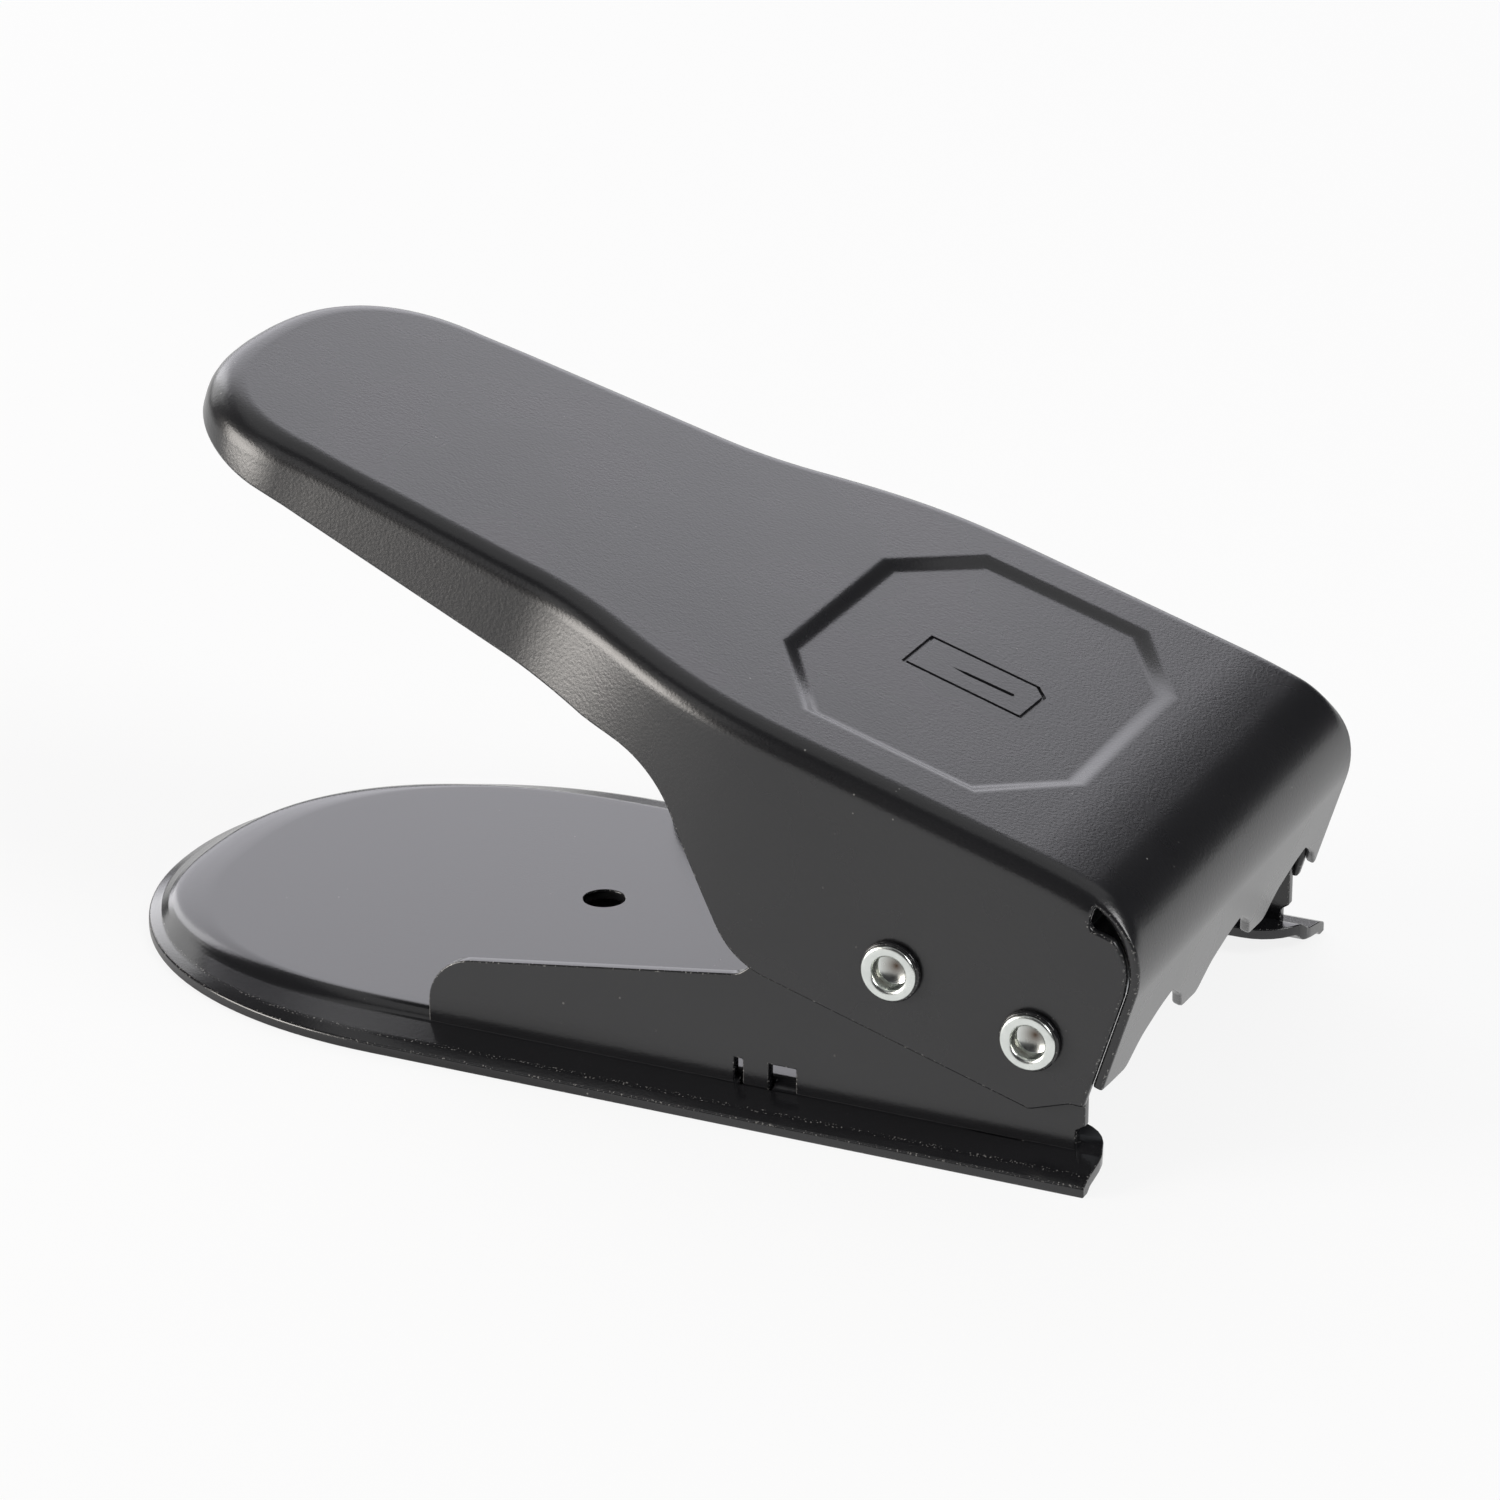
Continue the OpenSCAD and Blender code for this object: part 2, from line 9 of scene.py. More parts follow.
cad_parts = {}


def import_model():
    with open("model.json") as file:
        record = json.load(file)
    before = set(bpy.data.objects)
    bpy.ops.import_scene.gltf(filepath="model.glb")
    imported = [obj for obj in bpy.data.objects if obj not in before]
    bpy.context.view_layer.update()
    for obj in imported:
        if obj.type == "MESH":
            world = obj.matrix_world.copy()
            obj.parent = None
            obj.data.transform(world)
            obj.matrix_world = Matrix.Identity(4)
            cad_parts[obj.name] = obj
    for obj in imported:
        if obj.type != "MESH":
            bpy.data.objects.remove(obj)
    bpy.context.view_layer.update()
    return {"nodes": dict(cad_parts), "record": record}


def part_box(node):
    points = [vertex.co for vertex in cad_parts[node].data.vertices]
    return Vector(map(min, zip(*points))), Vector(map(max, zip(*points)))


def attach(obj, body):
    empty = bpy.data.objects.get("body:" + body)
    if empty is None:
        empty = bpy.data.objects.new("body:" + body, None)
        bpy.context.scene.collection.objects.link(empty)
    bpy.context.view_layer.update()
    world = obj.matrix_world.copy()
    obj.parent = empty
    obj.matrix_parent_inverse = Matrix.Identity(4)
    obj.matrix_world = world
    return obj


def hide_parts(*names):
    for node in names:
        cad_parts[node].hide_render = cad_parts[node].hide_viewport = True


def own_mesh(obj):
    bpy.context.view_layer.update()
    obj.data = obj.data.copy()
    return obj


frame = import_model()

MM = 0.001
TO_METRES = Matrix.Scale(MM, 4)

# Lever, in its own frame: the pivot at the origin, u forwards along the handle and v up from the pins
OPEN_ANGLE = 17
PIVOT = (51.6, 0, 14.5)
PIN_ARM = 15.85
TOP = 18.25
LEVER_HALF = 31.8
LEVER_SHEET = 1.1
EDGE_R = 2.6
REAR_EDGE_R = 3.4
HANDLE_END = -114.3
HANDLE_ROUND = 18
HANDLE_REAR_HALF = 22
HANDLE_FRONT_HALF = 24.6
HANDLE_FULLNESS = 2.4
HANDLE_DRAFT = 9
HANDLE_DEPTH = 5.95
HANDLE_EDGE_START = -99
HANDLE_EDGE_END = -56
TAIL_RISE = 1.1
TAIL_LENGTH = 14
SOFT_EDGE_START = -90
SOFT_EDGE_LENGTH = 20
DRAFT_END = -42
DRAFT_FADE = 22
TAIL_FADE = 16
WIDEN_START = -62
WIDEN_LENGTH = 26
STRAIGHT_WALLS = -27
LOW = TOP - 25.8
NECK = TOP - 10
NECK_BOW_R = 12
BOW_R = 9
BOW_TURN = math.radians(43)
BOW_START = -52.2
BOW_END = -28.3
CHIN_START = 2.2
CHIN_END = 5.9
CHIN_RISE = 2.6
CHIN_TIP_RISE = 3
EASE_START = -7.2
EASE_DROP = 0.32
BEND_START = 0.2
FRONT_U = 8.5
BEND_TILT = math.atan(2 * EASE_DROP / (BEND_START - EASE_START))
BEND_R = (FRONT_U - BEND_START) / (1 - math.sin(BEND_TILT))
WALL_FRONT = 7.35
NOTCH_U = 1.5
NOTCH_DEPTH = 3.3
TONGUE_U = 2
TONGUE_TOP = TOP - 4
RELIEF_R = 6.5
RELIEF_FOOT = TOP - 9.35
OCTAGON_DEPTH = 0.6
OCTAGON_WALL = 2.1
TOOTH_PITCH = 2 * LEVER_HALF * 0.3125
TOOTH_TIP = TOP - 20.95
TOOTH_START = 3.9
TOOTH_ROUND = 0.8
PLATE_HALF = LEVER_HALF - 0.4
LEVER_PLACE = (TO_METRES @ Matrix.Translation(PIVOT)
               @ Matrix.Rotation(math.radians(OPEN_ANGLE), 4, "Y"))

# Base plate
BASE_REAR = -63
BASE_FRONT = 59
BASE_HALF = 35.5
BASE_ROUND = 41.8
BASE_SHEET = 1.2
FLANGE_TOP = 2
FLANGE_INNER = FLANGE_TOP + 0.45
FLANGE_OUTER = FLANGE_TOP - 0.3
PLATEAU_TOP = 3.4
PLATEAU_EDGE = PLATEAU_TOP - 0.4
PLATEAU_FULLNESS = 2.4
RIM_FULLNESS = 2.1
RIM_FACE = 1.1
FRONT_SPARE = 8
MOUTH_DEPTH = 13
MOUTH_HALF = 25.3
MOUTH_R = 6
FRAME_HALF = 30.4
SIDE_SHEET = 1.2
SIDE_REAR = -16.9
TAB_PLACES = (SIDE_REAR + 36.2, 47)
TAB_L = 3
TAB_PLAY = 0.35
TAB_SIDE_PLAY = 0.15
FOOT_NOTCH_TOP = FLANGE_TOP + 2.3
FOOT_NOTCH_LIFT = 0.9
FOOT_NOTCH_REACH = 7
FIXING_HOLE = (-13, 3.6)
FIXING_HOLE_R = 2.3
CUT_FOOT = -5
CUT_HEIGHT = 20

# Punch and die
DIE_X = 36.1
DIE_SCREW_X = 8.6
DIE_SCREW_Y = 21.6
CARD_L = 12.3
CARD_W = 8.8
CARD_CORNER = CARD_W * 0.23
CARD_DROP_MARGIN = 1

# Guide posts and springs
POST_X = 27.5
POST_Y = 17
SPRING_R = 3
WIRE_R = 0.4
SPRING_TURNS = 5.5
SPRING_FOOT = 9.9
SPRING_HEAD = 20.22

# Screws
SCREW_R = 1
SCREW_HEAD_R = 1.9
SCREW_HEAD_H = 1.2
SCREW_HOLE_R = 1.2
SOCKET_R = 0.87
SOCKET_FLOOR = 0.45

# Pins
PIN_R = 2.5
PIN_BORE_R = 1.8
HEAD_R = 3
HEAD_T = 0.4
WASHER_T = 0.7
BORE_DEPTH = 1.8
DRILL_POINT = 0.55
PIN_PLAY = 0.05
DRIVE_PIN = (PIVOT[0] - PIN_ARM * math.cos(math.radians(OPEN_ANGLE)),
             PIVOT[2] + PIN_ARM * math.sin(math.radians(OPEN_ANGLE)))

# Finishing: edges that turn by more than the first angle are broken, by the widths below. Those that still
# turn by more than the second stay sharp in the shading
BROKEN_ANGLE = 32
SHARP_ANGLE = 50
LEVER_BREAK = 0.3
SIDE_BREAK = 0.18
BASE_BREAK = 0.15
GROUND_BREAK = 0.12
SCREW_BREAK = 0.06
TURNED_BREAK = 0.05


def lerp(a, b, t):
    return a + (b - a) * t


def smooth_step(t):
    t = min(1, max(0, t))
    return t * t * (3 - 2 * t)


# Materials

def linear(hex_colour):
    """The linear colour of an sRGB hex value."""
    parts = [int(hex_colour[i:i + 2], 16) / 255 for i in (1, 3, 5)]
    return [p / 12.92 if p <= 0.04045 else ((p + 0.055) / 1.055) ** 2.4 for p in parts] + [1]


def add_node(tree, kind, links=(), **settings):
    """A shader node with its settings: socket values go by name, links as (socket, source output)."""
    made = tree.nodes.new(kind)
    for key, value in settings.items():
        if hasattr(made, key):
            setattr(made, key, value)
        else:
            made.inputs[key.replace("_", " ")].default_value = value
    for socket, source in links:
        tree.links.new(source, made.inputs[socket])
    return made


def new_material(name):
    made = bpy.data.materials.new(name)
    made.use_nodes = True
    tree = made.node_tree
    tree.nodes.clear()
    shader = add_node(tree, "ShaderNodeBsdfPrincipled")
    add_node(tree, "ShaderNodeOutputMaterial", [("Surface", shader.outputs[0])])
    place = add_node(tree, "ShaderNodeTexCoord").outputs["Object"]
    return made, tree, shader, place


def grains_per_metre(size_mm):
    """The scale of a noise whose grains are about that many millimetres wide."""
    return 1 / (size_mm * MM)


BUMP_HEIGHT = 0.03 * MM


def baked_enamel(name, gloss, peel):
    """Black stoving enamel sprayed on pressed steel.

    The eye gets a glossy black film with an orange peel, a few dust nibs, and bare metal along its edges."""
    made, tree, shader, place = new_material(name)
    shader.inputs["IOR"].default_value = 1.54
    # The film's tone and gloss change slowly, over about 14 mm
    cloud = add_node(tree, "ShaderNodeTexNoise", [("Vector", place)], Scale=grains_per_metre(14), Detail=3.0)
    film = add_node(tree, "ShaderNodeMix", [("Factor", cloud.outputs[0])], data_type="RGBA")
    film.inputs[6].default_value = linear("#171719")
    film.inputs[7].default_value = linear("#1f1f21")
    # Bare specks and dust nibs of about a fifth of a millimetre, drawn a little coarser so that they show
    nibs = add_node(tree, "ShaderNodeTexVoronoi", [("Vector", place)], Scale=grains_per_metre(2))
    nib_mask = add_node(tree, "ShaderNodeMapRange", [("Value", nibs.outputs["Distance"])],
                        From_Min=0.07, From_Max=0.035)
    patch = add_node(tree, "ShaderNodeTexNoise", [("Vector", place)], Scale=grains_per_metre(9), Detail=2.0)
    patch_mask = add_node(tree, "ShaderNodeMapRange", [("Value", patch.outputs[0])],
                          From_Min=0.55, From_Max=0.68)
    # Rubbed edges: grains of a quarter of a millimetre where the broken edges are marked
    wear = add_node(tree, "ShaderNodeAttribute", attribute_name="edge_wear")
    rub = add_node(tree, "ShaderNodeTexNoise", [("Vector", place)], Scale=grains_per_metre(0.24), Detail=2.0)
    rub_mask = add_node(tree, "ShaderNodeMapRange", [("Value", rub.outputs[0])], From_Min=0.6, From_Max=0.68)
    rubbed = add_node(tree, "ShaderNodeMath", [(0, rub_mask.outputs[0]), (1, wear.outputs["Fac"])],
                      operation="MULTIPLY")
    sprinkled = add_node(tree, "ShaderNodeMath", [(0, nib_mask.outputs[0]), (1, patch_mask.outputs[0])],
                         operation="MULTIPLY")
    bare = add_node(tree, "ShaderNodeMath", [(0, rubbed.outputs[0]), (1, sprinkled.outputs[0])],
                    operation="MAXIMUM")
    colour = add_node(tree, "ShaderNodeMix", [("Factor", bare.outputs[0]), (6, film.outputs[2])],
                      data_type="RGBA")
    colour.inputs[7].default_value = linear("#7b7a78")
    tree.links.new(colour.outputs[2], shader.inputs["Base Color"])
    sheen = add_node(tree, "ShaderNodeMapRange", [("Value", cloud.outputs[0])],
                     To_Min=gloss - 0.02, To_Max=gloss + 0.03)
    tree.links.new(sheen.outputs[0], shader.inputs["Roughness"])
    # Orange peel: low bumps about a third of a millimetre apart
    peel_noise = add_node(tree, "ShaderNodeTexNoise", [("Vector", place)],
                          Scale=grains_per_metre(0.34), Detail=1.0)
    bump = add_node(tree, "ShaderNodeBump", [("Height", peel_noise.outputs[0])],
                    Strength=peel, Distance=BUMP_HEIGHT)
    tree.links.new(bump.outputs[0], shader.inputs["Normal"])
    return made


def bare_metal(name, dark, light, roughness, grain_mm, stretch, bump_strength):
    """Bare or plated metal: grain that is drawn out along one axis, with a slow change of tone."""
    made, tree, shader, place = new_material(name)
    shader.inputs["Metallic"].default_value = 1
    turned = add_node(tree, "ShaderNodeMapping", [("Vector", place)], Scale=stretch)
    grain = add_node(tree, "ShaderNodeTexNoise", [("Vector", turned.outputs[0])],
                     Scale=grains_per_metre(grain_mm), Detail=4.0)
    tone = add_node(tree, "ShaderNodeMix", [("Factor", grain.outputs[0])], data_type="RGBA")
    tone.inputs[6].default_value = linear(dark)
    tone.inputs[7].default_value = linear(light)
    # Brown unplated steel at the bottom of a drilled bore, growing darker towards the drill point as painted
    # shade of the hollow
    tip_tint_and_shade = add_node(tree, "ShaderNodeAttribute", attribute_name="unplated_tip_and_shade")
    colour = add_node(tree, "ShaderNodeMix", [("Factor", tip_tint_and_shade.outputs["Fac"]), (6, tone.outputs[2])],
                      data_type="RGBA")
    colour.inputs[7].default_value = linear("#4b3a2c")
    tree.links.new(colour.outputs[2], shader.inputs["Base Color"])
    rough = add_node(tree, "ShaderNodeMapRange", [("Value", grain.outputs[0])],
                     To_Min=roughness - 0.07, To_Max=roughness + 0.07)
    tree.links.new(rough.outputs[0], shader.inputs["Roughness"])
    bump = add_node(tree, "ShaderNodeBump", [("Height", grain.outputs[0])],
                    Strength=bump_strength, Distance=BUMP_HEIGHT)
    tree.links.new(bump.outputs[0], shader.inputs["Normal"])
    return made


LEVER_ENAMEL = baked_enamel("black_stoving_enamel_lever", 0.27, 0.55)
BASE_ENAMEL = baked_enamel("black_stoving_enamel_base", 0.16, 0.18)
ZINC = bare_metal("bright_zinc_plate", "#c6cac7", "#dfe2de", 0.25, 0.9, (1, 1, 1), 0.15)
GROUND_STEEL = bare_metal("ground_tool_steel", "#74777a", "#989b9e", 0.36, 0.5, (0.06, 1, 1), 0.3)
SPRING_WIRE = bare_metal("drawn_spring_wire", "#6a6a6b", "#8b8b8c", 0.3, 0.6, (1, 1, 1), 0.1)
BRONZE = bare_metal("sintered_bronze", "#7d5c33", "#a67f4c", 0.42, 0.3, (1, 1, 1), 0.4)
MATERIAL_OF_SLOT = {"black_paint": BASE_ENAMEL, "zinc_steel": ZINC, "tool_steel": GROUND_STEEL,
                    "spring_steel": SPRING_WIRE, "bronze": BRONZE}
SLOT_OF_NODE = {s["node"]: s["material_slot"] for s in frame["record"]["subparts"]}
BODY_OF_NODE = {n: b for b, nodes in frame["record"]["behaviour"]["bodies"].items() for n in nodes}


# Pieces

def mesh_object(bm, name):
    mesh = bpy.data.meshes.new(name)
    bm.to_mesh(mesh)
    bm.free()
    made = bpy.data.objects.new(name, mesh)
    bpy.context.scene.collection.objects.link(made)
    return made


def dress(piece, node, material):
    """Gives a piece its finish and lets it stand for a CAD node on that node's body."""
    piece.data.materials.clear()
    piece.data.materials.append(material)
    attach(piece, BODY_OF_NODE[node])
    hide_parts(node)
    return piece


def settle(piece):
    """Turns the modifiers of a piece into mesh."""
    bpy.context.view_layer.update()
    done = bpy.data.meshes.new_from_object(piece.evaluated_get(bpy.context.evaluated_depsgraph_get()))
    piece.modifiers.clear()
    piece.data = done


def cut(piece, shapes, overlap=False):
    """Cuts closed shapes out of a piece. Overlap says that they cross each other."""
    bmesh.ops.recalc_face_normals(shapes, faces=shapes.faces)
    cutter = mesh_object(shapes, "cutter")
    gone = piece.modifiers.new("cut", "BOOLEAN")
    gone.operation = "DIFFERENCE"
    gone.solver = "EXACT"
    gone.use_self = overlap
    gone.object = cutter
    settle(piece)
    bpy.data.objects.remove(cutter)


def soften(piece, width_mm):
    """Rounds the sharp edges of a piece and marks the new faces, where the finish rubs off first."""
    bm = bmesh.new()
    bm.from_mesh(piece.data)
    bmesh.ops.remove_doubles(bm, verts=bm.verts, dist=0.01 * MM)
    bmesh.ops.dissolve_degenerate(bm, edges=bm.edges, dist=0.01 * MM)
    wear = bm.faces.layers.float.get("edge_wear") or bm.faces.layers.float.new("edge_wear")
    edges = [e for e in bm.edges if len(e.link_faces) == 2 and e.calc_length() > 0.02 * MM
             and e.calc_face_angle() > math.radians(BROKEN_ANGLE)]
    made = bmesh.ops.bevel(bm, geom=edges, offset=width_mm * MM, offset_type="OFFSET", affect="EDGES",
                           segments=2, profile=0.5, material=-1, clamp_overlap=False)
    for face in made["faces"]:
        face[wear] = 1
    bm.to_mesh(piece.data)
    bm.free()
    return piece


def shade(piece):
    """Shades a piece smooth, with its flat faces kept flat and the edges that are left kept sharp."""
    bm = bmesh.new()
    bm.from_mesh(piece.data)
    for face in bm.faces:
        face.smooth = True
    for edge in bm.edges:
        edge.smooth = len(edge.link_faces) == 2 and edge.calc_face_angle() < math.radians(SHARP_ANGLE)
    bm.to_mesh(piece.data)
    bm.free()
    flat = piece.modifiers.new("flat_faces", "WEIGHTED_NORMAL")
    flat.weight = 75
    flat.keep_sharp = True
    return piece


def grid_sheet(columns, rows):
    """A flat grid, and its vertices as rows of columns."""
    bm = bmesh.new()
    bmesh.ops.create_grid(bm, x_segments=columns - 1, y_segments=rows - 1, size=0.5)
    table = [[None] * columns for _ in range(rows)]
    for v in bm.verts:
        i = round((v.co.x + 0.5) * (columns - 1))
        j = round((v.co.y + 0.5) * (rows - 1))
        table[j][i] = v
    return bm, table


def add_opening(bm, outline):
    """A prism that cuts an outline of (x, y) points through the base."""
    face = bm.faces.new([bm.verts.new(TO_METRES @ Vector((x, y, CUT_FOOT))) for x, y in outline])
    grown = bmesh.ops.extrude_face_region(bm, geom=[face])
    moved = [g for g in grown["geom"] if isinstance(g, bmesh.types.BMVert)]
    bmesh.ops.translate(bm, verts=moved, vec=(0, 0, CUT_HEIGHT * MM))


def add_rod(bm, start, end, radius, sides=48):
    """A closed round rod between two points."""
    a, b = Vector(start), Vector(end)
    turn = (b - a).to_track_quat("Z", "Y").to_matrix().to_4x4()
    bmesh.ops.create_cone(bm, cap_ends=True, segments=sides, radius1=radius, radius2=radius,
                          depth=(b - a).length, matrix=Matrix.Translation((a + b) / 2) @ turn)


def add_hole(bm, x, y, radius_mm, sides=48):
    """A rod that cuts a round hole through the base."""
    foot = Vector((x, y, CUT_FOOT))
    add_rod(bm, TO_METRES @ foot, TO_METRES @ (foot + Vector((0, 0, CUT_HEIGHT))), radius_mm * MM, sides)


def fill_between(bm, outer, inner):
    """Fills the flat ring between two closed loops of edges."""
    bmesh.ops.triangle_fill(bm, edges=list(outer) + list(inner), use_beauty=True, normal=(0, 0, 1))


def closed_loop(bm, points):
    """A closed loop of new edges."""
    verts = [bm.verts.new(p) for p in points]
    return [bm.edges.new((verts[k], verts[(k + 1) % len(verts)])) for k in range(len(verts))]


def face_up(bm, loop):
    """A flat face inside a closed loop of edges, with its front upwards."""
    face = bmesh.ops.contextual_create(bm, geom=loop)["faces"][0]
    face.normal_update()
    if face.normal.z < 0:
        face.normal_flip()
    return face


def round_end(x0, length, half, fullness, steps):
    """Half of a rounded end, from its rear point to its full width."""
    points = []
    for k in range(steps + 1):
        t = math.pi / 2 * k / steps
        points.append((x0 + length * (1 - max(0, math.cos(t)) ** (2 / fullness)),
                       half * math.sin(t) ** (2 / fullness)))
    return points


# Lever: one pressed sheet

def lever_half(u):
    """Half-width of the lever ahead of its rounded end, with the start of the widening eased."""
    def raw(x):
        if x < WIDEN_START:
            start = HANDLE_END + HANDLE_ROUND
            return lerp(HANDLE_REAR_HALF, HANDLE_FRONT_HALF, (x - start) / (WIDEN_START - start))
        rise = math.sin(math.pi / 2 * min(1, (x - WIDEN_START) / WIDEN_LENGTH))
        return lerp(HANDLE_FRONT_HALF, LEVER_HALF, rise)
    spacing = 1.2
    taps = [raw(u + spacing * k) for k in range(-4, 5)]
    return sum(taps) / len(taps)


def lower_edge(u):
    """Height of the lever's lower edge."""
    if u < HANDLE_EDGE_END:
        along = (u - HANDLE_EDGE_START) / (HANDLE_EDGE_END - HANDLE_EDGE_START)
        depth = lerp(HANDLE_DEPTH, TOP - NECK, max(0, along))
        return TOP - depth + TAIL_RISE * smooth_step((HANDLE_EDGE_START - u) / TAIL_LENGTH)
    if u < BOW_START:
        return NECK
    fall_start = BOW_START + NECK_BOW_R * math.cos(BOW_TURN)
    if u < fall_start:
        return NECK - NECK_BOW_R + math.sqrt(NECK_BOW_R ** 2 - (u - BOW_START) ** 2)
    fall_end = BOW_END - BOW_R * math.cos(BOW_TURN)
    if u < fall_end:
        upper = NECK - NECK_BOW_R * (1 - math.sin(BOW_TURN))
        lower = LOW + BOW_R * (1 - math.sin(BOW_TURN))
        return lerp(upper, lower, (u - fall_start) / (fall_end - fall_start))
    if u < BOW_END:
        return LOW + BOW_R - math.sqrt(BOW_R ** 2 - (u - BOW_END) ** 2)
    if u < CHIN_START:
        return LOW
    if u < CHIN_END:
        return LOW + CHIN_RISE * (u - CHIN_START) / (CHIN_END - CHIN_START)
    return LOW + lerp(CHIN_RISE, CHIN_TIP_RISE, (u - CHIN_END) / (WALL_FRONT - CHIN_END))


def edge_radius(u):
    """Radius of the rolled edge, which gets softer round the handle's end."""
    return lerp(EDGE_R, REAR_EDGE_R, smooth_step((SOFT_EDGE_START - u) / SOFT_EDGE_LENGTH))


def bend_point(a):
    """Point (u, v) of the front bend where its sheet is tilted by an angle."""
    return (FRONT_U - BEND_R * (1 - math.sin(a)),
            TOP - EASE_DROP - BEND_R * (math.cos(BEND_TILT) - math.cos(a)))


def top_height(u):
    """Height of the lever's top, which starts to fall a little behind the front bend."""
    if u < BEND_START:
        return TOP - EASE_DROP * (max(0, u - EASE_START) / (BEND_START - EASE_START)) ** 2
    return bend_point(math.asin(1 - (FRONT_U - u) / BEND_R))[1]


def wall_lean(u):
    """Outward lean of the side wall per millimetre: the handle opens downwards, the rest is upright."""
    along = smooth_step((DRAFT_END - u) / DRAFT_FADE) * smooth_step((u - HANDLE_END) / TAIL_FADE)
    return math.tan(math.radians(HANDLE_DRAFT)) * along


def relief_edge(u):
    """Height of the side wall's upper edge ahead of the rolled edge."""
    if u < TONGUE_U:
        return lerp(TOP - NOTCH_DEPTH, TONGUE_TOP, (u - NOTCH_U) / (TONGUE_U - NOTCH_U))
    arc_rise = math.sqrt(max(0, RELIEF_R ** 2 - (u - WALL_FRONT + RELIEF_R) ** 2))
    return min(TONGUE_TOP, RELIEF_FOOT + arc_rise)


def spaced(start, end, step):
    """Even places from a start up to an end, which is left out."""
    count = max(1, round((end - start) / step))
    return [start + (end - start) * k / count for k in range(count)]


def lever_stations():
    """Half of the lever's plan outline as (u, half-width), closest together where it curves.

    The first list runs from the rear point to the notch, the second on to the side wall's front edge."""
    start = HANDLE_END + HANDLE_ROUND
    attached = round_end(HANDLE_END, HANDLE_ROUND, HANDLE_REAR_HALF, HANDLE_FULLNESS, 26)[:-1]
    widening, bowing = -70, -50
    ahead = (spaced(start, widening, 2.5) + spaced(widening, bowing, 1.25)
             + spaced(bowing, STRAIGHT_WALLS, 0.75) + spaced(STRAIGHT_WALLS, EASE_START, 3)
             + EASED_PLACES + [NOTCH_U])
    attached += [(u, lever_half(u)) for u in ahead]
    tongue = [(u, LEVER_HALF) for u in spaced(NOTCH_U + 0.25, WALL_FRONT, 0.35) + [WALL_FRONT]]
    return attached, tongue


def inward(points, k):
    """Unit vector into the outline at one of its points."""
    a = Vector(points[max(0, k - 1)])
    b = Vector(points[min(len(points) - 1, k + 1)])
    along = (b - a).normalized()
    return Vector((along.y, -along.x))


WALL_ROWS = 2
ARC_ROWS = 7
FLAT_BAND = 0.35
EASED_PLACES = spaced(EASE_START, NOTCH_U, 0.65)
EASED = len(EASED_PLACES)


def rolled_section(j, r):
    """One row of the rolled edge: how far it lies inside the wall, and how far below the top."""
    a = math.pi / 2 * min(j, ARC_ROWS) / ARC_ROWS
    return r * (1 - math.cos(a)) + (FLAT_BAND if j > ARC_ROWS else 0), r * (1 - math.sin(a))


def lever_skirt():
    """Side walls and rolled edges: a strip from the lower edge up to the flat top, all the way round.

    Returns the strip, and its innermost row of vertices as far as the notches at the front."""
    attached, tongue = lever_stations()
    half = attached + tongue
    outline = [(u, -w) for u, w in reversed(half)] + half[1:]
    bm, table = grid_sheet(len(outline), WALL_ROWS + ARC_ROWS + 2)
    middle = len(half) - 1
    loose = []
    for i, (u, w) in enumerate(outline):
        in_tongue = abs(i - middle) >= len(attached)
        r = edge_radius(u)
        top_of_wall = relief_edge(u) if in_tongue else TOP - r - (NOTCH_DEPTH - EDGE_R)
        into = inward(outline, i)
        if i == middle:
            into = Vector((1, 0))
        if u > STRAIGHT_WALLS:
            into = Vector((0, -1 if w > 0 else 1))
        low = lower_edge(u)
        for j in range(WALL_ROWS):
            z = lerp(low, top_of_wall, j / (WALL_ROWS - 1))
            lean = into * wall_lean(u) * max(0, TOP - r - z)
            table[j][i].co = (u - lean.x, w - lean.y, z)
        for j in range(ARC_ROWS + 2):
            inset, drop = rolled_section(j, r)
            shift = into * inset
            v = table[WALL_ROWS + j][i]
            v.co = (u + shift.x, w + shift.y, (TOP if in_tongue else top_height(u)) - drop)
            if in_tongue:
                loose.append(v)
    rim = table[-1][len(tongue):len(outline) - len(tongue)]
    bmesh.ops.delete(bm, geom=loose, context="VERTS")
    return bm, rim


def octagon_outline(bm):
    rear, front, side, end, corner = -43.4, -7.6, 24.4, 13, 7.9
    return closed_loop(bm, [(rear, -end, TOP), (rear + corner, -side, TOP), (front - corner, -side, TOP),
                            (front, -end, TOP), (front, end, TOP), (front - corner, side, TOP),
                            (rear + corner, side, TOP), (rear, end, TOP)])


def press_octagon(bm, loop):
    """Sinks the octagon with a soft wall between two narrow flat bands."""
    face = face_up(bm, loop)
    steps = 8
    drops = [OCTAGON_DEPTH * (smooth_step((k + 1) / steps) - smooth_step(k / steps)) for k in range(steps)]
    for drop in [0] + drops + [0]:
        bmesh.ops.inset_individual(bm, faces=[face], thickness=OCTAGON_WALL / steps, depth=-drop,
                                   use_even_offset=True)


